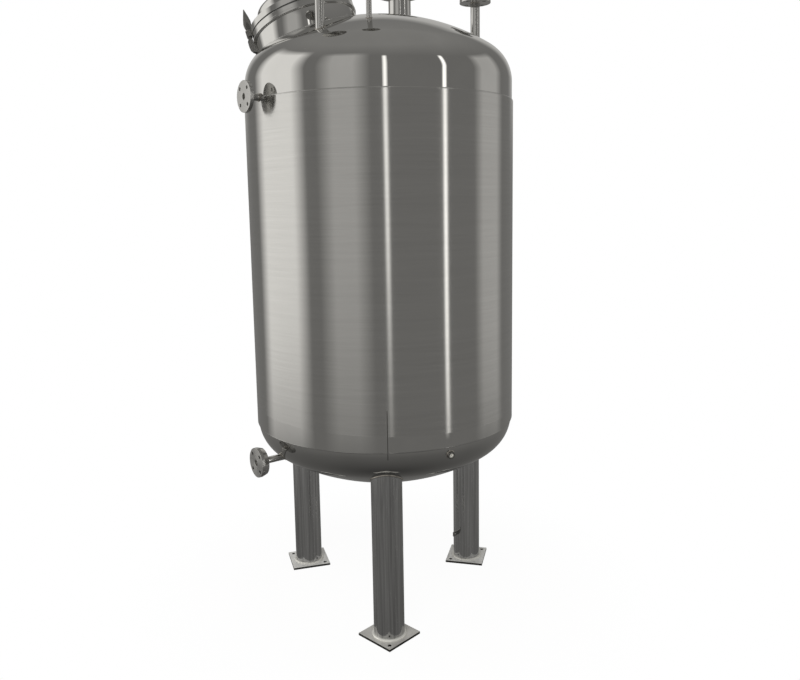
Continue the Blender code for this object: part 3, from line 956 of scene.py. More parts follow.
def emboss(tree, shader, height, strength, distance):
    """Turns a height into the shader's bump."""
    bump = fill(node(tree, "ShaderNodeBump", (-200, -100)), {"Strength": strength, "Distance": distance})
    tree.links.new(height, bump.inputs["Height"])
    tree.links.new(bump.outputs["Normal"], shader.inputs["Normal"])


def steel(
    name,
    colour,
    roughness,
    haze,
    waviness,
    across=0.0,
    along=0.0,
    depth=0.0,
    anisotropy=0.0,
    shade=0.06,
    metallic=1.0,
):
    """Stainless steel with its polish, its grain and a slight change of tone."""
    material = bpy.data.materials.new(name)
    material.use_nodes = True
    material.diffuse_color = (*colour, 1.0)
    tree = material.node_tree
    shader = tree.nodes["Principled BSDF"]
    fill(shader, {"Metallic": metallic, "Anisotropic": anisotropy, "Base Color": (*colour, 1.0)})
    place = node(tree, "ShaderNodeTexCoord", (-1100, 0))
    sheet = node(tree, "ShaderNodeGroup", (-800, 100), node_tree=built("polished sheet", polish_group))
    fill(sheet, {"Roughness": roughness, "Haze": haze, "Waviness": waviness})
    tree.links.new(place.outputs["Object"], sheet.inputs["Vector"])
    tree.links.new(sheet.outputs["Roughness"], shader.inputs["Roughness"])
    height = sheet.outputs["Height"]
    tone = sheet.outputs["Smudge"]
    if across:
        lines = node(tree, "ShaderNodeGroup", (-800, -200), node_tree=built("grain", grain_group))
        fill(lines, {"Across": across, "Along": along, "Depth": depth})
        uv = node(tree, "ShaderNodeUVMap", (-1100, -300), uv_map=TURNED_MAP)
        tree.links.new(uv.outputs["UV"], lines.inputs["Vector"])
        height = maths(tree, "ADD", height, lines.outputs["Height"], (-500, -100))
        tone = lines.outputs["Shade"]
    if anisotropy:
        tangent = node(tree, "ShaderNodeTangent", (-300, -400), direction_type="UV_MAP")
        tangent.uv_map = TURNED_MAP
        tree.links.new(tangent.outputs[0], shader.inputs["Tangent"])
    darker = [value * (1.0 - shade) for value in colour]
    lighter = [min(1.0, value * (1.0 + shade)) for value in colour]
    tint(tree, shader, tone, darker, lighter)
    emboss(tree, shader, height, 1.0, 1.0)
    return material


def rubber(name, colour):
    """Black rubber with fine specks and a little dust."""
    material = bpy.data.materials.new(name)
    material.use_nodes = True
    tree = material.node_tree
    shader = tree.nodes["Principled BSDF"]
    fill(shader, {"Base Color": (*colour, 1.0), "Roughness": RUBBER_ROUGHNESS})
    place = node(tree, "ShaderNodeTexCoord", (-900, 0))
    specks = noise(tree, place.outputs["Object"], RUBBER_SPECKS, (-600, 0))
    dust = noise(tree, place.outputs["Object"], RUBBER_DUST, (-600, 250))
    tint(tree, shader, dust, colour, [value * DUSTY for value in colour])
    emboss(tree, shader, specks, *RUBBER_BUMP)
    return material


def finishes(context):
    """The finishes of the tank, made once."""
    if "tank_finishes_made" in context.scene:
        return bpy.data.materials
    context.scene["tank_finishes_made"] = True
    colours = context.scene.tank_finish
    for name, colour, roughness, haze, waviness, extras in STEELS:
        if isinstance(colour, str):
            colour = tuple(getattr(colours, colour))
        steel(name, colour, roughness, haze, waviness, **extras)
    rubber("gasket_rubber", tuple(colours.rubber))
    return bpy.data.materials


def coat(tree, mesh, entry, out, at):
    """Ends a tree, with its instances made real, smooth and given their material."""
    x, y = at
    plain = node(tree, "GeometryNodeRealizeInstances", at)
    tree.links.new(mesh, plain.inputs["Geometry"])
    smooth = node(tree, "GeometryNodeSetShadeSmooth", (x + 150, y))
    tree.links.new(plain.outputs["Geometry"], smooth.inputs["Geometry"])
    coated = node(tree, "GeometryNodeSetMaterial", (x + 300, y))
    tree.links.new(smooth.outputs["Geometry"], coated.inputs["Geometry"])
    tree.links.new(entry.outputs["Material"], coated.inputs["Material"])
    tree.links.new(coated.outputs["Geometry"], out.inputs["Geometry"])
    return tree


def weld_tree():
    """Rippled bead along every line of a mesh."""
    tree, entry, out = open_group(
        "weld bead",
        "GeometryNodeTree",
        [
            ("Geometry", GEOMETRY, None),
            ("Radius", NUMBER, 0.003),
            ("Pitch", NUMBER, 0.0035),
            ("Ripple", NUMBER, 0.12),
            ("Seed", NUMBER, 1.0),
            ("Material", MATERIAL, None),
        ],
        [("Geometry", GEOMETRY)],
    )
    lines = node(tree, "GeometryNodeMeshToCurve", (-800, 100))
    tree.links.new(entry.outputs["Geometry"], lines.inputs["Mesh"])
    evened = node(tree, "GeometryNodeResampleCurve", (-600, 100), mode="LENGTH")
    tree.links.new(lines.outputs["Curve"], evened.inputs["Curve"])
    spacing = maths(tree, "DIVIDE", entry.outputs["Pitch"], RIPPLE_POINTS, (-800, -100))
    tree.links.new(spacing, evened.inputs["Length"])
    along = node(tree, "GeometryNodeSplineParameter", (-800, -300))
    turns = maths(tree, "DIVIDE", along.outputs["Length"], entry.outputs["Pitch"], (-600, -300))
    phase = maths(tree, "MULTIPLY", turns, math.tau, (-450, -300))
    wave = maths(tree, "SINE", phase, None, (-300, -300))
    where = node(tree, "GeometryNodeInputPosition", (-800, -550))
    uneven = node(tree, "ShaderNodeTexNoise", (-600, -550), noise_dimensions="4D")
    fill(uneven, {"Scale": BEAD_NOISE})
    tree.links.new(entry.outputs["Seed"], uneven.inputs["W"])
    tree.links.new(where.outputs[0], uneven.inputs["Vector"])
    drift = maths(tree, "MULTIPLY", uneven.outputs["Fac"], BEAD_DRIFT, (-300, -500))
    swing = maths(tree, "ADD", wave, drift, (-100, -300))
    ripple = maths(tree, "MULTIPLY", swing, entry.outputs["Ripple"], (50, -300))
    scale = maths(tree, "ADD", ripple, BEAD_LEAST, (200, -300))
    sized = node(tree, "GeometryNodeSetCurveRadius", (350, 100))
    tree.links.new(evened.outputs["Curve"], sized.inputs["Curve"])
    tree.links.new(scale, sized.inputs["Radius"])
    ring = node(tree, "GeometryNodeCurvePrimitiveCircle", (350, -150))
    fill(ring, {"Resolution": BEAD_SIDES})
    tree.links.new(entry.outputs["Radius"], ring.inputs["Radius"])
    bead = fill(node(tree, "GeometryNodeCurveToMesh", (550, 100)), {"Fill Caps": True})
    tree.links.new(sized.outputs["Curve"], bead.inputs["Curve"])
    tree.links.new(ring.outputs["Curve"], bead.inputs["Profile Curve"])
    return coat(tree, bead.outputs["Mesh"], entry, out, (750, 100))


def thread_tree():
    """Rings of a screw thread, one above the other."""
    tree, entry, out = open_group(
        "screw thread",
        "GeometryNodeTree",
        [
            ("Radius", NUMBER, 0.006),
            ("Pitch", NUMBER, 0.00175),
            ("Depth", NUMBER, 0.0006),
            ("Count", COUNT, 12),
            ("Material", MATERIAL, None),
        ],
        [("Geometry", GEOMETRY)],
    )
    ring = node(tree, "GeometryNodeCurvePrimitiveCircle", (-500, 200))
    fill(ring, {"Resolution": CLAMP_THREAD_STEPS})
    core = maths(tree, "SUBTRACT", entry.outputs["Radius"], entry.outputs["Depth"], (-650, 100))
    tree.links.new(core, ring.inputs["Radius"])
    tooth = node(tree, "GeometryNodeCurvePrimitiveCircle", (-500, -50))
    fill(tooth, {"Resolution": CLAMP_THREAD_SIDES})
    tree.links.new(entry.outputs["Depth"], tooth.inputs["Radius"])
    thread = node(tree, "GeometryNodeCurveToMesh", (-300, 150))
    tree.links.new(ring.outputs["Curve"], thread.inputs["Curve"])
    tree.links.new(tooth.outputs["Curve"], thread.inputs["Profile Curve"])
    rise = node(tree, "ShaderNodeCombineXYZ", (-500, -300))
    tree.links.new(entry.outputs["Pitch"], rise.inputs["Z"])
    column = node(tree, "GeometryNodeMeshLine", (-300, -200), mode="OFFSET")
    tree.links.new(entry.outputs["Count"], column.inputs["Count"])
    tree.links.new(rise.outputs[0], column.inputs["Offset"])
    spread = node(tree, "GeometryNodeInstanceOnPoints", (0, 50))
    tree.links.new(column.outputs["Mesh"], spread.inputs["Points"])
    tree.links.new(thread.outputs["Mesh"], spread.inputs["Instance"])
    return coat(tree, spread.outputs["Instances"], entry, out, (250, 50))


def socket_key(tree, label):
    for item in tree.interface.items_tree:
        if item.item_type == "SOCKET" and item.in_out == "INPUT" and item.name == label:
            return item.identifier
    raise KeyError(label)


def grow(piece, tree, values):
    """Runs a Geometry Nodes tree on a piece, and keeps its result as a plain mesh."""
    step = piece.modifiers.new(tree.name, "NODES")
    step.node_group = tree
    for label, value in values.items():
        step[socket_key(tree, label)] = value
    return settle(piece)


def weld(name, lines, material, body=BODY, closed=True):
    """Lays a bead along each ring of points, or along each open line."""
    sizes = bpy.context.scene.tank_sizes
    size, ripple, pitch = BEADS[name]
    corners = []
    edges = []
    for line in lines:
        first = len(corners)
        corners += [tuple(point) for point in line]
        edges += [(first + step, first + step + 1) for step in range(len(line) - 1)]
        if closed:
            edges.append((first + len(line) - 1, first))
    mesh = bpy.data.meshes.new(name)
    mesh.from_pydata(corners, edges, [])
    piece = link(name, mesh)
    values = {
        "Radius": sizes.weld_radius * size,
        "Pitch": pitch or sizes.weld_pitch,
        "Ripple": ripple,
        "Seed": float(len(name)),
        "Material": material,
    }
    grow(piece, built("weld bead", weld_tree), values)
    return finish(piece, None, (), body)


def head_piece(name, top, holes, material, node_name):
    """Dished head with its skirt, the bottom one upside down."""
    sign = 1.0 if top else -1.0
    tangent = TOP_TANGENT if top else BOTTOM_TANGENT
    seam = bpy.context.scene.tank_sizes.brushed_top if top else SHELL_LOW
    rim = seam - sign * HEAD_LAP
    outer = [(radius, tangent + sign * height) for radius, height in head_outline()]
    inner = [(radius, tangent + sign * height) for radius, height in head_outline(-HEAD_WALL)]
    skirt = [(HEAD_RADIUS, rim), (HEAD_RADIUS, tangent - sign * HEAD_SKIRT_GAP)]
    outline = skirt + outer + list(reversed(inner)) + [(HEAD_RADIUS - HEAD_WALL, rim)]
    piece = turned(name, outline, SHELL_STEPS, turn(90.0))
    combine(piece, holes, "DIFFERENCE")
    return finish(piece, material, (node_name,))


def flange_piece(kind, pipe_radius, face, place, node_name):
    """Drilled flange whose face is at a height of its frame."""
    radius, thickness, circle_radius, hole_radius, count = FLANGES[kind]
    low = face - thickness
    bore = pipe_radius + GAP
    outline = [(bore, low), (radius, low), (radius, face), (bore, face)]
    if kind in FLANGE_TAPERS:
        back, rim = FLANGE_TAPERS[kind]
        outline[1:2] = [(back, low), (radius, face - rim)]
    edge = bpy.context.scene.tank_sizes.edge_round
    name = f"{kind}_flange"
    piece = turned(name, rounded(outline, edge, 2), FLANGE_STEPS, place)
    holes = []
    for number in range(count):
        spot = turn(360.0 * (number + 0.5) / count) @ shift(circle_radius, 0.0, 0.0)
        holes.append(drill(f"{name}_hole_{number + 1}", hole_radius, low, face, place @ spot))
    combine(piece, holes, "DIFFERENCE")
    flatten_faces(piece)
    return finish(piece, finishes(bpy.context)["turned_flange_steel"], (node_name,))


class TankMaker(bpy.types.Operator):
    """Shared by the operators that make the tank and its stage"""

    bl_options = {"REGISTER", "UNDO"}


class TANK_OT_shell(TankMaker):
    """Rolls the shell, with its brushed band between polished rims"""

    bl_idname = "tank.make_shell"
    bl_label = "Shell"

    def execute(self, context):
        sizes = context.scene.tank_sizes
        finish_of = finishes(context)
        inner = SHELL_RADIUS - SHELL_WALL
        eased = SHELL_RADIUS - SHELL_EDGE
        top = sizes.brushed_top
        heights = (SHELL_LOW + SHELL_EDGE, sizes.brushed_low, top - SHELL_EDGE)
        outline = [(eased, SHELL_LOW), (SHELL_RADIUS, heights[0])]
        for low, high in zip(heights, heights[1:]):
            count = max(1, round((high - low) / SHELL_ROW))
            rows = [low + (high - low) * step / count for step in range(1, count + 1)]
            outline += [(SHELL_RADIUS, height) for height in rows]
        outline += [(eased, top), (inner, top), (inner, SHELL_LOW)]
        piece = turned("rolled_shell", outline, SHELL_STEPS, turn(90.0))
        for corner in piece.data.vertices:
            if abs(corner.co.z - sizes.brushed_low) < SAME_HEIGHT:
                corner.co.z += sizes.brushed_slope * corner.co.x
        height, _, face = GAUGE_NOZZLES["upper_gauge"]
        reach = (GAUGE_CUT_START, face)
        bore_out(piece, "shell_hole", GAUGE_PIPE_RADIUS + GAP, reach, gauge_frame(height))
        piece.data.materials.append(finish_of["mirror_polished_steel"])
        piece.data.materials.append(finish_of["brushed_shell_steel"])
        for panel in piece.data.polygons:
            middle = panel.center
            low = sizes.brushed_low + sizes.brushed_slope * middle.x
            outside = math.hypot(middle.x, middle.y) > SHELL_RADIUS - 2.0 * SHELL_EDGE
            panel.material_index = int(outside and low < middle.z)
        finish(piece, None, ("shell",))
        return {"FINISHED"}


class TANK_OT_heads(TankMaker):
    """Presses the two dished heads and cuts their nozzle holes"""

    bl_idname = "tank.make_heads"
    bl_label = "Dished heads"

    def execute(self, context):
        material = finishes(context)["mirror_polished_steel"]
        holes = [
            plain_drill(f"{kind}_hole", radius + GAP, *TOP_CUT, shift(x, y, 0.0))
            for kind, (x, y, radius, _, _) in TOP_NOZZLES.items()
        ]
        neck = NECK_RADIUS + GAP
        holes.append(plain_drill("manway_hole", neck, *MANWAY_CUT, manway_frame(), MANWAY_STEPS))
        head_piece("dished_top", True, holes, material, "top_head")
        height, _, face = GAUGE_NOZZLES["lower_gauge"]
        gauge = GAUGE_PIPE_RADIUS + GAP
        holes = [
            plain_drill("lower_gauge_hole", gauge, GAUGE_CUT_START, face, gauge_frame(height)),
            plain_drill("outlet_hole", OUTLET_RADIUS + GAP, *OUTLET_CUT, tip(180.0, "X")),
            plain_drill("coupling_hole", COUPLING_RADIUS + GAP, *COUPLING_CUT, coupling_frame()),
        ]
        head_piece("dished_bottom", False, holes, material, "bottom_head")
        return {"FINISHED"}


class TANK_OT_legs(TankMaker):
    """Copes the three pipe legs to the bottom head"""

    bl_idname = "tank.make_legs"
    bl_label = "Pipe legs"

    def execute(self, context):
        material = finishes(context)["polished_leg_steel"]
        low = PLATE_THICKNESS + GAP
        inner = LEG_RADIUS - LEG_WALL
        outline = [(LEG_RADIUS - LEG_EDGE, low), (LEG_RADIUS, low + LEG_EDGE)]
        outline += [(LEG_RADIUS, low + LEG_ROW * step) for step in range(1, LEG_ROWS + 1)]
        outline += [(LEG_RADIUS, LEG_OVERLONG), (inner, LEG_OVERLONG), (inner, low)]
        for side, degrees in LEG_ANGLES.items():
            place = leg_frame(degrees) @ turn(180.0)
            piece = turned(f"{side}_pipe_leg", outline, LEG_STEPS, place)
            for corner in piece.data.vertices:
                if corner.co.z > LEG_TRIM:
                    corner.co.z = bottom_height(corner.co) - GAP
            finish(piece, material, (f"{side}_leg",))
        return {"FINISHED"}


class TANK_OT_base_plates(TankMaker):
    """Cuts the square base plates with their two anchor holes"""

    bl_idname = "tank.make_base_plates"
    bl_label = "Base plates"

    def execute(self, context):
        finish_of = finishes(context)
        half = PLATE_SIDE / 2.0
        low_corner = (-half, -half, 0.0)
        high_corner = (half, half, PLATE_THICKNESS)
        for side, degrees in LEG_ANGLES.items():
            place = leg_frame(degrees)
            piece = block(f"{side}_foot_plate", low_corner, high_corner, place @ turn(45.0))
            holes = []
            for number, sign in enumerate((-1.0, 1.0)):
                name = f"{side}_anchor_{number}"
                spot = place @ shift(sign * PLATE_HOLE_REACH, 0.0, 0.0)
                reach = (0.0, PLATE_THICKNESS)
                holes.append(drill(name, PLATE_HOLE_RADIUS, *reach, spot, PLATE_HOLE_FLARE))
            combine(piece, holes, "DIFFERENCE")
            ease(piece, PLATE_EDGE)
            # The front plate takes the darker copy, painted shade; the left and right plates take the
            # paler copy, painted light.
            material = finish_of["dull_plate_steel" if side == "front" else "plate_steel"]
            finish(piece, material, (f"{side}_base_plate",))
            # The plates' sides and anchor hole walls take the dark steel of painted shade.
            piece.data.materials.append(finish_of["cut_edge_steel"])
            for panel in piece.data.polygons:
                panel.material_index = 0 if abs(panel.normal.z) > 0.5 else 1
        return {"FINISHED"}


class TANK_OT_manway(TankMaker):
    """Makes the manway's neck, flange ring and gasket"""

    bl_idname = "tank.make_manway"
    bl_label = "Manway"

    def execute(self, context):
        finish_of = finishes(context)
        polished = finish_of["mirror_polished_steel"]
        place = manway_frame()
        ends = (NECK_BOTTOM, -JOINT_HALF)
        neck = tube("manway_pipe", NECK_RADIUS, NECK_WALL, *ends, MANWAY_STEPS, place)
        finish(neck, polished, ("manway_neck",))

        bore = NECK_RADIUS + GAP
        outline = [
            (bore, FLANGE_BOTTOM),
            (FLANGE_LIP_RADIUS, FLANGE_BOTTOM),
            (FLANGE_LIP_RADIUS, FLANGE_LIP_TOP),
            (FLANGE_RADIUS, FLANGE_LIP_TOP),
            (FLANGE_RADIUS, -JOINT_HALF),
            (bore, -JOINT_HALF),
        ]
        ring = turned("manway_ring", rounded(outline, FLANGE_EDGE, 3), MANWAY_STEPS, place)
        bore_out(ring, "ring_slot", CLAMP_SLOT_RADIUS, CLAMP_LUG_CUT, clamp_frame())
        flatten_faces(ring)
        finish(ring, polished, ("manway_flange",))

        half = JOINT_HALF - GAP
        shoulder = half * GASKET_SHOULDER
        middle = (GASKET_INNER + GASKET_OUTER) / 2.0
        outline = [
            (GASKET_INNER, -half),
            (middle, -half),
            (GASKET_OUTER, -shoulder),
            (GASKET_OUTER + GASKET_BULGE, 0.0),
            (GASKET_OUTER, shoulder),
            (middle, half),
            (GASKET_INNER, half),
        ]
        gasket = turned("joint_gasket", outline, MANWAY_STEPS, place, SOFT_ANGLE)
        finish(gasket, finish_of["gasket_rubber"], ("manway_gasket",))
        return {"FINISHED"}


class TANK_OT_cover(TankMaker):
    """Makes the manway's dished cover with its rim and handle"""

    bl_idname = "tank.make_cover"
    bl_label = "Cover"

    def execute(self, context):
        polished = finishes(context)["mirror_polished_steel"]
        place = manway_frame()
        wall = FLANGE_RADIUS - COVER_RING_BORE
        ends = (JOINT_HALF, COVER_RING_TOP)
        ring = tube("cover_rim", FLANGE_RADIUS, wall, *ends, MANWAY_STEPS, place, COVER_RING_EDGE)
        flatten_faces(ring)
        finish(ring, polished, ("cover_ring",), COVER)

        base = COVER_RING_TOP + GAP
        shoulder = base + DOME_SIDE
        outer = dome_outline()
        outline = [(DOME_RADIUS, base)] + [(radius, shoulder + height) for radius, height in outer]
        for radius, height in reversed(dome_outline(-DOME_WALL)):
            outline.append((radius, shoulder + height))
        outline.append((DOME_RADIUS - DOME_WALL, base))
        dome = turned("dished_cover", outline, MANWAY_STEPS, place)
        finish(dome, polished, ("cover_dome",), COVER)
        self.add_handle(context)
        return {"FINISHED"}

    def add_handle(self, context):
        half = HANDLE_SPAN / 2.0
        top = dome_height(0.0) + HANDLE_HEIGHT
        foot = dome_height(half) - HANDLE_SEAT
        route = [(-half, foot), (-half, (foot + top) / 2.0)]
        bend = (-half + HANDLE_BEND, top - HANDLE_BEND)
        route += arc(bend, HANDLE_BEND, 180.0, 90.0, HANDLE_BEND_STEPS)
        route += [(-across, height) for across, height in [(0.0, top)] + route[::-1]]
        place = manway_frame() @ turn(CLAMP_ANGLE)
        piece = swept("lifting_handle", route, HANDLE_ROD, HANDLE_STEPS, place)
        finish(piece, finishes(context)["polished_pipe_steel"], ("cover_handle",), COVER)


class TANK_OT_hinge(TankMaker):
    """Makes the cover's hinge at the back of the manway"""

    bl_idname = "tank.make_hinge"
    bl_label = "Cover hinge"

    def execute(self, context):
        cast = finishes(context)["cast_clamp_steel"]
        place = manway_frame() @ turn(HINGE_ANGLE)
        pin_place = place @ shift(HINGE_REACH, 0.0, COVER_RING_TOP) @ tip(90.0, "X")
        self.add_fork(place, pin_place, cast)
        self.add_arm(place, pin_place, cast)
        self.add_pin(pin_place, finishes(context)["polished_pipe_steel"])
        return {"FINISHED"}

    def add_fork(self, place, pin_place, material):
        low = (FLANGE_RADIUS + GAP, -HINGE_CHEEK_OUTER, FLANGE_LIP_TOP + HINGE_FORK_FOOT)
        high = (HINGE_REACH + HINGE_FORK_REACH, HINGE_CHEEK_OUTER, HINGE_FORK_TOP)
        fork = block("hinge_fork", low, high, place)
        outline = [
            (HINGE_REACH - HINGE_CHEEK_BACK, HINGE_CHEEK_FOOT),
            (HINGE_REACH + HINGE_FORK_REACH, HINGE_CHEEK_FOOT),
        ]
        centre = (HINGE_REACH, COVER_RING_TOP)
        outline += arc(centre, HINGE_BOSS_RADIUS, 0.0, 180.0, HINGE_BOSS_STEPS // 2)
        half = (HINGE_CHEEK_OUTER - HINGE_CHEEK_INNER) / 2.0
        middle = (HINGE_CHEEK_INNER + HINGE_CHEEK_OUTER) / 2.0
        cheeks = [
            prism(f"fork_cheek_{side}", outline, half, place @ shift(0.0, sign * middle, 0.0))
            for side, sign in (("near", -1.0), ("far", 1.0))
        ]
        combine(fork, cheeks, "UNION")
        bore_out(fork, "fork_bore", HINGE_PIN_RADIUS + GAP, HINGE_FORK_CUT, pin_place, HOLE_STEPS)
        ease(fork, HINGE_EDGE)
        finish(fork, material, ("hinge_bracket",))

    def add_arm(self, place, pin_place, material):
        start = COVER_RING_BORE + HINGE_ARM_START
        top = HINGE_BOSS_RADIUS - HINGE_ARM_STEP
        boss_start = 180.0 - math.degrees(math.asin(GAP / HINGE_BOSS_RADIUS))
        boss_end = 540.0 - math.degrees(math.asin(top / HINGE_BOSS_RADIUS))
        outline = [(start, COVER_RING_TOP + top), (start, COVER_RING_TOP + GAP)]
        centre = (HINGE_REACH, COVER_RING_TOP)
        outline += arc(centre, HINGE_BOSS_RADIUS, boss_start, boss_end, HINGE_BOSS_STEPS)
        arm = prism("hinge_strap", outline, HINGE_ARM_HALF, place)
        bore_out(arm, "strap_bore", HINGE_PIN_RADIUS + GAP, HINGE_ARM_CUT, pin_place, HOLE_STEPS)
        ease(arm, HINGE_EDGE)
        finish(arm, material, ("hinge_arm",), COVER)

    def add_pin(self, place, material):
        start = HINGE_CHEEK_OUTER + GAP
        end = start + HINGE_HEAD_THICKNESS
        head = [
            (HINGE_PIN_RADIUS, start),
            (HINGE_HEAD_RADIUS, start),
            (HINGE_HEAD_RADIUS, end - HINGE_HEAD_EDGE),
            (HINGE_HEAD_RADIUS - HINGE_HEAD_EDGE, end),
            (0.0, end),
        ]
        outline = [(radius, -height) for radius, height in reversed(head)] + head
        pin = turned("hinge_rod", outline, HOLE_STEPS, place)
        finish(pin, material, ("hinge_pin",))


class TANK_OT_clamp(TankMaker):
    """Makes the cover's clamp: lug, ear and a screw with a leaf-shaped grip"""

    bl_idname = "tank.make_clamp"
    bl_label = "Cover clamp"

    def execute(self, context):
        cast = finishes(context)["cast_clamp_steel"]
        place = manway_frame() @ turn(CLAMP_ANGLE)
        lug = prism("clamp_bracket", CLAMP_LUG, CLAMP_LUG_HALF, place)
        bore_out(lug, "bracket_slot", CLAMP_SLOT_RADIUS, CLAMP_LUG_CUT, clamp_frame())
        ease(lug, CLAMP_LUG_EDGE, 3)
        finish(lug, cast, ("clamp_lug",))

        low = (FLANGE_RADIUS + GAP, -CLAMP_EAR_HALF, JOINT_HALF + CLAMP_EAR_RISE)
        high = (CLAMP_EAR_REACH, CLAMP_EAR_HALF, COVER_RING_TOP)
        ear = block("clamp_tab", low, high, place)
        bore_out(ear, "tab_bore", CLAMP_SCREW_RADIUS + GAP, CLAMP_EAR_CUT, clamp_frame(), CLAMP_STEPS)
        ease(ear, CLAMP_EAR_EDGE, 3)
        finish(ear, cast, ("clamp_ear",), COVER)

        self.add_screw(clamp_frame(), cast)
        return {"FINISHED"}

    def add_screw(self, place, material):
        low = COVER_RING_TOP + GAP
        high = low + CLAMP_HUB_HEIGHT
        core = CLAMP_SCREW_RADIUS - CLAMP_THREAD_DEPTH
        outline = [
            (0.0, CLAMP_TIP),
            (core - CLAMP_TIP_EDGE, CLAMP_TIP),
            (core, CLAMP_TIP + CLAMP_TIP_EDGE),
            (core, low),
            (CLAMP_HUB_RADIUS - CLAMP_HUB_FOOT_EDGE, low),
            (CLAMP_HUB_RADIUS, low + CLAMP_HUB_FOOT_EDGE),
            (CLAMP_HUB_RADIUS, high - CLAMP_HUB_TOP_EDGE),
            (CLAMP_HUB_RADIUS - CLAMP_HUB_TOP_EDGE, high),
            (0.0, high),
        ]
        screw = turned("clamp_spindle", outline, CLAMP_STEPS, place)
        leaf = prism("leaf", CLAMP_BLADE, CLAMP_BLADE_HALF, place, CLAMP_BLADE_EDGE, 4)
        combine(screw, [leaf], "UNION")
        finish(screw, material, ("clamp_screw",), COVER)

        thread = link("clamp_thread", bpy.data.meshes.new("clamp_thread"))
        values = {
            "Radius": CLAMP_SCREW_RADIUS,
            "Pitch": CLAMP_THREAD_PITCH,
            "Depth": CLAMP_THREAD_DEPTH,
            "Count": CLAMP_THREAD_TURNS,
            "Material": material,
        }
        grow(thread, built("screw thread", thread_tree), values)
        thread.data.transform(place @ shift(0.0, 0.0, CLAMP_TIP + CLAMP_THREAD_START))
        finish(thread, None, (), COVER)


class TANK_OT_top_nozzles(TankMaker):
    """Makes the four nozzles on the top head"""

    bl_idname = "tank.make_top_nozzles"
    bl_label = "Top nozzles"

    def execute(self, context):
        material = finishes(context)["polished_pipe_steel"]
        for kind, (x, y, radius, wall, end) in TOP_NOZZLES.items():
            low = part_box(f"{kind}_nozzle_pipe")[0].z
            place = shift(x, y, 0.0)
            steps = WIDE_PIPE_STEPS if radius > WIDE_PIPE_RADIUS else PIPE_STEPS
            pipe = tube(f"{kind}_pipe", radius, wall, low, end, steps, place)
            finish(pipe, material, (f"{kind}_nozzle_pipe",))
            flange_piece(kind, radius, end, place, f"{kind}_nozzle_flange")
        return {"FINISHED"}


class TANK_OT_gauge_nozzles(TankMaker):
    """Makes the two flanged nozzles for a level gauge"""

    bl_idname = "tank.make_gauge_nozzles"
    bl_label = "Level gauge nozzles"

    def execute(self, context):
        material = finishes(context)["polished_pipe_steel"]
        radius = GAUGE_PIPE_RADIUS
        for kind, (height, inner_end, face) in GAUGE_NOZZLES.items():
            place = gauge_frame(height)
            pipe = tube(f"{kind}_pipe", radius, GAUGE_PIPE_WALL, inner_end, face, PIPE_STEPS, place)
            finish(pipe, material, (f"{kind}_nozzle_pipe",))
            flange_piece(kind, radius, face, place, f"{kind}_nozzle_flange")
        return {"FINISHED"}


class TANK_OT_outlet(TankMaker):
    """Makes the outlet at the middle of the bottom head"""

    bl_idname = "tank.make_outlet"
    bl_label = "Bottom outlet"

    def execute(self, context):
        place = tip(180.0, "X")
        low, high = -OUTLET_INSIDE, -OUTLET_END
        pipe = tube("outlet_pipe", OUTLET_RADIUS, OUTLET_WALL, low, high, OUTLET_STEPS, place)
        finish(pipe, finishes(context)["polished_pipe_steel"], ("bottom_outlet_pipe",))
        flange_piece("outlet", OUTLET_RADIUS, high, place, "bottom_outlet_flange")
        return {"FINISHED"}


class TANK_OT_coupling(TankMaker):
    """Makes the plugged coupling on the bottom head's knuckle"""

    bl_idname = "tank.make_coupling"
    bl_label = "Plugged coupling"

    def execute(self, context):
        finish_of = finishes(context)
        place = coupling_frame()
        low = KNUCKLE_RADIUS - HEAD_WALL - COUPLING_INSIDE
        high = KNUCKLE_RADIUS + COUPLING_REACH
        wall = COUPLING_RADIUS - COUPLING_BORE
        ends = (low, high)
        socket = tube("threaded_socket", COUPLING_RADIUS, wall, *ends, PIPE_STEPS, place, COUPLING_EDGE)
        finish(socket, finish_of["cast_clamp_steel"], ("bottom_coupling",))
        radius = COUPLING_BORE - GAP
        ends = (low, high - PLUG_RECESS)
        plug = tube("socket_plug", radius, radius, *ends, PIPE_STEPS, place, PLUG_EDGE)
        bore_out(plug, "plug_key", PLUG_KEY_RADIUS, (high - PLUG_KEY_DEPTH, high), place, PLUG_KEY_SIDES)
        finish(plug, finish_of["bright_weld_steel"], ("bottom_coupling_plug",))
        return {"FINISHED"}


class TANK_OT_earthing_lug(TankMaker):
    """Makes the drilled earthing lug on the right leg"""

    bl_idname = "tank.make_earthing_lug"
    bl_label = "Earthing lug"

    def execute(self, context):
        degrees = LEG_ANGLES["right"]
        place = leg_frame(degrees) @ shift(0.0, 0.0, LUG_HEIGHT) @ turn(LUG_ANGLE - degrees)
        reach, thickness, height = LUG_SIZE
        start = LEG_RADIUS + GAP
        low = (start, -thickness / 2.0, -height / 2.0)
        high = (start + reach, thickness / 2.0, height / 2.0)
        lug = block("earthing_tab", low, high, place)
        spot = place @ shift(start + reach * LUG_HOLE_PLACE, 0.0, 0.0) @ tip(90.0, "X")
        bore_out(lug, "lug_hole", LUG_HOLE, LUG_CUT, spot, LUG_HOLE_STEPS)
        ease(lug, LUG_EDGE)
        finish(lug, finishes(context)["cast_clamp_steel"], ("earthing_lug",))
        return {"FINISHED"}


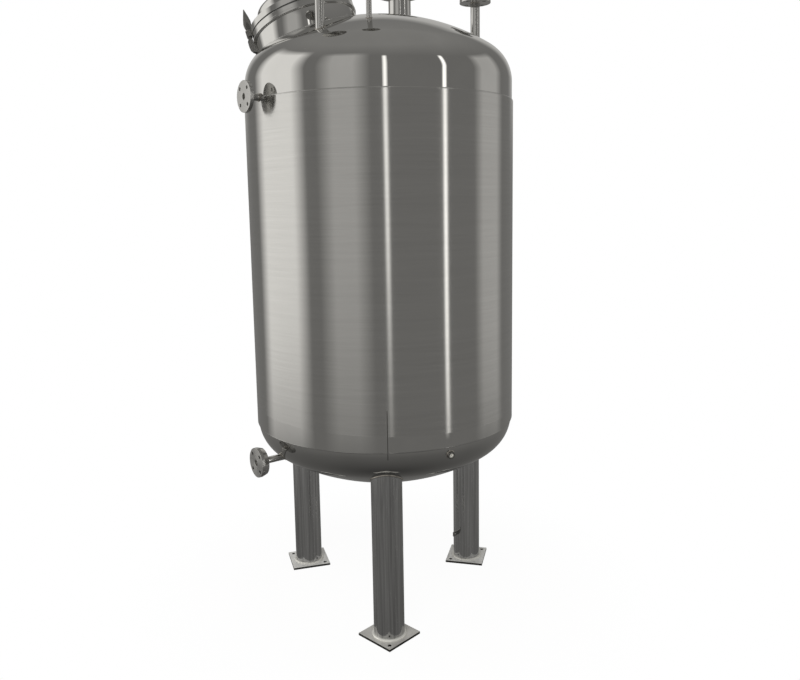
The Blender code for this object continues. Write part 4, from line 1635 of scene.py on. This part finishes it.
class TANK_OT_welds(TankMaker):
    """Lays the weld beads that join the pieces"""

    bl_idname = "tank.lay_welds"
    bl_label = "Welds"

    def execute(self, context):
        self.weld_shell(context)
        self.weld_legs(context)
        self.weld_nozzles(context)
        self.weld_manway(context)
        return {"FINISHED"}

    def weld_shell(self, context):
        finish_of = finishes(context)
        top = context.scene.tank_sizes.brushed_top + HEAD_SEAM_UP
        low = SHELL_LOW - HEAD_SEAM_UP
        radius = HEAD_RADIUS + HEAD_SEAM_OUT
        seams = [circle(Matrix(), radius, height, HEAD_SEAM_POINTS) for height in (top, low)]
        weld("head_seams", seams, finish_of["ground_seam_steel"])
        line = []
        for step in range(SEAM_STEPS + 1):
            height = SEAM_TOP + (SEAM_END - SEAM_TOP) * step / SEAM_STEPS
            line.append(turn(SEAM_ANGLE) @ Vector((tank_radius(height), 0.0, height)))
        # The seam's bead is dark steel: painted shade along the seam.
        weld("upright_seam", [line], finish_of["cut_edge_steel"], closed=False)

    def weld_legs(self, context):
        finish_of = finishes(context)
        places = [leg_frame(degrees) for degrees in LEG_ANGLES.values()]
        height = PLATE_THICKNESS + FOOT_WELD_UP
        radius = LEG_RADIUS + FOOT_WELD_OUT
        feet = [circle(place, radius, height, LEG_WELD_POINTS) for place in places]
        weld("leg_foot_welds", feet, finish_of["bright_weld_steel"])
        radius = LEG_RADIUS + RING_STAND
        copes = [circle(place, radius, 0.0, LEG_WELD_POINTS) for place in places]
        for line in copes:
            for point in line:
                point.z = bottom_height(point) - COPE_WELD_DOWN
        weld("leg_top_welds", copes, finish_of["weld_steel"])

    def weld_nozzles(self, context):
        lines = []
        for kind, (x, y, pipe, _, end) in TOP_NOZZLES.items():
            place = shift(x, y, 0.0)
            lines += self.nozzle_lines(kind, place, pipe, TOP_CUT, end, TOP_NOZZLE_POINTS)
        for kind, (height, _, face) in GAUGE_NOZZLES.items():
            place = gauge_frame(height)
            reach = (GAUGE_CUT_START, face)
            lines += self.nozzle_lines(kind, place, GAUGE_PIPE_RADIUS, reach, face, GAUGE_POINTS)
        flip = tip(180.0, "X")
        face = -OUTLET_END
        lines += self.nozzle_lines("outlet", flip, OUTLET_RADIUS, OUTLET_CUT, face, OUTLET_POINTS)
        radius = COUPLING_RADIUS + PIPE_STAND
        lines.append(meeting_line(coupling_frame(), radius, *COUPLING_CUT, GAUGE_POINTS))
        weld("nozzle_welds", lines, finishes(context)["weld_steel"])

    def nozzle_lines(self, kind, place, pipe, reach, face, count):
        """Lines where a nozzle's pipe leaves the tank, and behind its flange."""
        radius = pipe + PIPE_STAND
        behind = face - FLANGES[kind][1] - PIPE_STAND
        return [meeting_line(place, radius, *reach, count), circle(place, radius, behind, count)]

    def weld_manway(self, context):
        finish_of = finishes(context)
        ground = finish_of["ground_seam_steel"]
        place = manway_frame()
        neck = NECK_RADIUS + RING_STAND
        foot = meeting_line(place, neck, *MANWAY_CUT, MANWAY_WELD_POINTS)
        weld("manway_weld", [foot], ground)
        lip = circle(place, neck, FLANGE_BOTTOM - LIP_WELD_DOWN, RIM_WELD_POINTS)
        weld("manway_ring_weld", [lip], ground)
        height = COVER_RING_TOP + DOME_WELD_UP
        rim = circle(place, DOME_RADIUS + RING_STAND, height, RIM_WELD_POINTS)
        weld("cover_weld", [rim], ground, COVER)
        half = HANDLE_SPAN / 2.0
        height = dome_height(half) + HANDLE_WELD_UP
        feet = []
        for side in (-1.0, 1.0):
            stand = place @ turn(CLAMP_ANGLE) @ shift(0.0, side * half, 0.0)
            feet.append(circle(stand, HANDLE_ROD + PIPE_STAND, height, HANDLE_WELD_POINTS))
        weld("handle_welds", feet, finish_of["weld_steel"], COVER)


# Soft lights of the plain studio, which the steel mirrors. Each has its middle and half
# width round the tank, its lower and upper end, all in degrees, how soft its sides and
# its ends are, and its brightness. The angle round the tank is 0 at the camera's side,
# and grows anticlockwise as seen from above.
STUDIO_LIGHTS = (
    (-95.0, 25.0, -16.0, 40.0, 14.0, 8.0, 1.00),
    (-30.0, 16.0, -16.0, 35.0, 14.0, 8.0, 0.50),
    (5.0, 1.5, -8.0, 30.0, 2.0, 4.0, 1.60),
    (55.0, 1.5, -16.0, 30.0, 2.0, 4.0, 2.00),
    (105.0, 15.0, -16.0, 30.0, 10.0, 6.0, 0.50),
    (180.0, 30.0, 6.0, 35.0, 14.0, 8.0, 0.50),
)
LIGHT_COLOUR = np.array((1.0, 0.985, 0.95))
ROOM_BRIGHTNESS = 0.20
# Ceiling and ground: the elevation of their edge in degrees, and how soft it is.
CEILING_EDGE = (45.0, 30.0)
CEILING_BRIGHTNESS = 0.28
GROUND_EDGE = (-16.0, 4.0)
# The ground, which the steel mirrors instead of the floor, darkens straight down: painted shadow of the
# tank under it.
GROUND_BRIGHTNESS = ((-90.0, 0.05), (-40.0, 0.13), (-20.0, 0.19))
# Bands of the surround: lower and upper end, and their steps up and round, in degrees.
SURROUND_BANDS = (
    (-90.0, -20.0, 2.0, 2.0),
    (-20.0, 50.0, 1.0, 0.5),
    (50.0, 90.0, 2.0, 2.0),
)
SURROUND_REACH = 1000.0
SURROUND_CENTRE = np.array((0.0, 0.0, 2.3))
# Floor: its radius, the distances between which it fades to white, and its least whiteness.
FLOOR_REACH = 3.6
FLOOR_STEPS = 96
FLOOR_FADE = (0.6, 1.3)
FLOOR_WHITE = 0.965
SOFTBOX_SIZE = 3.0
SOFTBOX_WATTS = 200.0
SOFTBOX_PLACE = (-0.8, -3.6, 3.4)

# Camera: its place, its turn to the right, its dip and its roll in degrees, its lens and
# its sensor in millimetres, and its shift.
CAMERA_PLACE = Vector((0.0, -3.5613, 1.8693))
CAMERA_YAW = 0.7506
CAMERA_DIP = 7.9526
CAMERA_ROLL = -1.0084
CAMERA_LENS = 34.431
CAMERA_SENSOR = 36.0
CAMERA_SHIFT = (0.00884, -0.0436)


def soft_step(margin, softness):
    """1 where the margin is well above zero, 0 where it is well below."""
    return np.clip(margin / softness + 0.5, 0.0, 1.0)


def lay_over(behind, share, brightness):
    """Covers a brightness with another, by a share at each place."""
    return behind + share * (brightness - behind)


def studio_colours(azimuth, elevation):
    """Colours of the surround on a grid of angles in degrees."""
    brightness = np.full(azimuth.shape, ROOM_BRIGHTNESS)
    edge, softness = CEILING_EDGE
    brightness = lay_over(brightness, soft_step(elevation - edge, softness), CEILING_BRIGHTNESS)
    levels, shades = zip(*GROUND_BRIGHTNESS)
    # Darker straight down: the tank's painted shadow on the mirrored ground.
    ground = np.interp(elevation, levels, shades)
    edge, softness = GROUND_EDGE
    brightness = lay_over(brightness, soft_step(edge - elevation, softness), ground)
    for middle, half, low, high, side, end, light in STUDIO_LIGHTS:
        apart = np.abs((azimuth - middle + 180.0) % 360.0 - 180.0)
        share = soft_step(half - apart, side)
        share = share * soft_step(high - elevation, end) * soft_step(elevation - low, end)
        brightness = lay_over(brightness, share, light)
    return brightness[..., None] * LIGHT_COLOUR


def steps_between(low, high, step):
    return np.linspace(low, high, max(1, round((high - low) / step)) + 1)


def surround_mesh(low, high, rise, turn_step):
    """Band of a sphere round the studio whose corners carry the light's colours."""
    round_about = steps_between(-180.0, 180.0, turn_step)
    azimuth, elevation = np.meshgrid(round_about, steps_between(low, high, rise))
    turned_by = np.radians(azimuth)
    risen_by = np.radians(elevation)
    level = np.cos(risen_by)
    places = np.stack((np.sin(turned_by) * level, -np.cos(turned_by) * level, np.sin(risen_by)), -1)
    count, width = azimuth.shape
    first = (np.arange(count - 1)[:, None] * width + np.arange(width - 1)[None, :]).reshape(-1)
    faces = np.stack((first, first + width, first + width + 1, first + 1), -1)
    mesh = bpy.data.meshes.new("studio_surround")
    mesh.vertices.add(count * width)
    mesh.vertices.foreach_set("co", (places * SURROUND_REACH + SURROUND_CENTRE).reshape(-1))
    mesh.loops.add(faces.size)
    mesh.loops.foreach_set("vertex_index", faces.reshape(-1).astype(np.int32))
    mesh.polygons.add(len(faces))
    mesh.polygons.foreach_set("loop_start", np.arange(0, faces.size, 4, dtype=np.int32))
    mesh.update(calc_edges=True)
    colours = studio_colours(azimuth, elevation)
    shades = mesh.color_attributes.new("studio", "FLOAT_COLOR", "POINT")
    alpha = np.ones(azimuth.shape + (1,))
    shades.data.foreach_set("color", np.concatenate((colours, alpha), -1).reshape(-1))
    return mesh


def surround_material(strength):
    material = bpy.data.materials.new("studio_surround")
    material.use_nodes = True
    material.cycles.emission_sampling = "NONE"
    tree = material.node_tree
    tree.nodes.clear()
    shades = node(tree, "ShaderNodeAttribute", (-300, 0), attribute_name="studio")
    glow = fill(node(tree, "ShaderNodeEmission", (0, 0)), {"Strength": strength})
    tree.links.new(shades.outputs["Color"], glow.inputs["Color"])
    out = node(tree, "ShaderNodeOutputMaterial", (200, 0))
    tree.links.new(glow.outputs[0], out.inputs["Surface"])
    return material


def white_world():
    world = bpy.data.worlds.new("white")
    world.use_nodes = True
    fill(world.node_tree.nodes["Background"], {"Color": (1.0, 1.0, 1.0, 1.0)})
    return world


def floor_material(colour):
    """Plain pale floor that fades to white away from the tank."""
    material = bpy.data.materials.new("pale_floor")
    material.use_nodes = True
    tree = material.node_tree
    tree.nodes.clear()
    matt = fill(node(tree, "ShaderNodeBsdfDiffuse", (0, 0)), {"Color": (*colour, 1.0)})
    white = node(tree, "ShaderNodeEmission", (0, -200))
    place = node(tree, "ShaderNodeTexCoord", (-800, 200))
    away = node(tree, "ShaderNodeVectorMath", (-600, 200), operation="LENGTH")
    tree.links.new(place.outputs["Object"], away.inputs[0])
    near, far = FLOOR_FADE
    fade = node(tree, "ShaderNodeMapRange", (-400, 200))
    fill(fade, {"From Min": near, "From Max": far, "To Min": FLOOR_WHITE, "To Max": 1.0})
    tree.links.new(away.outputs["Value"], fade.inputs["Value"])
    path = node(tree, "ShaderNodeLightPath", (-400, 500))
    share = maths(tree, "MULTIPLY", fade.outputs["Result"], path.outputs["Is Camera Ray"], (-200, 300))
    mix = node(tree, "ShaderNodeMixShader", (250, 0))
    tree.links.new(share, mix.inputs[0])
    tree.links.new(matt.outputs[0], mix.inputs[1])
    tree.links.new(white.outputs[0], mix.inputs[2])
    out = node(tree, "ShaderNodeOutputMaterial", (450, 0))
    tree.links.new(mix.outputs[0], out.inputs["Surface"])
    return material


class TANK_OT_stage(TankMaker):
    """Lays the floor, hangs the studio's light and sets up the camera"""

    bl_idname = "tank.set_stage"
    bl_label = "Stage"

    def execute(self, context):
        studio = context.scene.tank_studio
        context.scene.world = white_world()
        context.scene.view_settings.view_transform = "Standard"
        self.hang_surround(studio.strength)
        self.lay_floor(tuple(studio.floor))
        self.hang_softbox(context)
        self.set_camera(context)
        return {"FINISHED"}

    def hang_surround(self, strength):
        glow = surround_material(strength)
        for band in SURROUND_BANDS:
            mesh = surround_mesh(*band)
            mesh.materials.append(glow)
            surround = link("studio_surround", mesh)
            surround.visible_camera = False
            surround.visible_shadow = False

    def lay_floor(self, colour):
        bm = bmesh.new()
        bmesh.ops.create_circle(bm, cap_ends=True, radius=FLOOR_REACH, segments=FLOOR_STEPS)
        mesh = bpy.data.meshes.new("pale_floor")
        bm.to_mesh(mesh)
        bm.free()
        mesh.materials.append(floor_material(colour))
        floor = link("pale_floor", mesh)
        floor.visible_glossy = False

    def hang_softbox(self, context):
        lamp = bpy.data.lights.new("softbox", "AREA")
        lamp.shape = "DISK"
        lamp.size = SOFTBOX_SIZE
        lamp.energy = SOFTBOX_WATTS
        box = bpy.data.objects.new("softbox", lamp)
        box.location = SOFTBOX_PLACE
        box.rotation_euler = (-box.location).to_track_quat("-Z", "Y").to_euler()
        box.visible_glossy = False
        context.scene.collection.objects.link(box)

    def set_camera(self, context):
        lens = bpy.data.cameras.new("camera")
        lens.sensor_width = CAMERA_SENSOR
        lens.lens = CAMERA_LENS
        lens.shift_x, lens.shift_y = CAMERA_SHIFT
        camera = bpy.data.objects.new("camera", lens)
        yaw = math.radians(CAMERA_YAW)
        dip = math.radians(CAMERA_DIP)
        roll = math.radians(CAMERA_ROLL)
        flat = Vector((math.sin(yaw), math.cos(yaw), 0.0))
        ahead = flat * math.cos(dip) - Vector((0.0, 0.0, math.sin(dip)))
        level = Vector((math.cos(yaw), -math.sin(yaw), 0.0))
        upright = level.cross(ahead)
        right = level * math.cos(roll) + upright * math.sin(roll)
        up = upright * math.cos(roll) - level * math.sin(roll)
        pose = Matrix((right, up, -ahead)).transposed().to_4x4()
        pose.translation = CAMERA_PLACE
        camera.matrix_world = pose
        context.scene.collection.objects.link(camera)
        context.scene.camera = camera


PIECE_OPERATORS = (
    TANK_OT_shell,
    TANK_OT_heads,
    TANK_OT_legs,
    TANK_OT_base_plates,
    TANK_OT_manway,
    TANK_OT_cover,
    TANK_OT_hinge,
    TANK_OT_clamp,
    TANK_OT_top_nozzles,
    TANK_OT_gauge_nozzles,
    TANK_OT_outlet,
    TANK_OT_coupling,
    TANK_OT_earthing_lug,
    TANK_OT_welds,
    TANK_OT_stage,
)


class TANK_PT_panel(bpy.types.Panel):
    bl_idname = "TANK_PT_panel"
    bl_label = "Storage tank"
    bl_space_type = "VIEW_3D"
    bl_region_type = "UI"
    bl_category = "Tank"

    def draw(self, context):
        layout = self.layout
        for group in (context.scene.tank_sizes, context.scene.tank_finish, context.scene.tank_studio):
            column = layout.column(align=True)
            for name in group.__annotations__:
                column.prop(group, name)
        for operator in PIECE_OPERATORS:
            layout.operator(operator.bl_idname)


CLASSES = (TankSizes, TankFinish, TankStudio, *PIECE_OPERATORS, TANK_PT_panel)


def register():
    for made in CLASSES:
        bpy.utils.register_class(made)
    bpy.types.Scene.tank_sizes = PointerProperty(type=TankSizes)
    bpy.types.Scene.tank_finish = PointerProperty(type=TankFinish)
    bpy.types.Scene.tank_studio = PointerProperty(type=TankStudio)


def unregister():
    del bpy.types.Scene.tank_studio
    del bpy.types.Scene.tank_finish
    del bpy.types.Scene.tank_sizes
    for made in reversed(CLASSES):
        bpy.utils.unregister_class(made)


def main():
    register()
    for operator in PIECE_OPERATORS:
        group, action = operator.bl_idname.split(".")
        getattr(getattr(bpy.ops, group), action)()


if __name__ == "__main__":
    main()
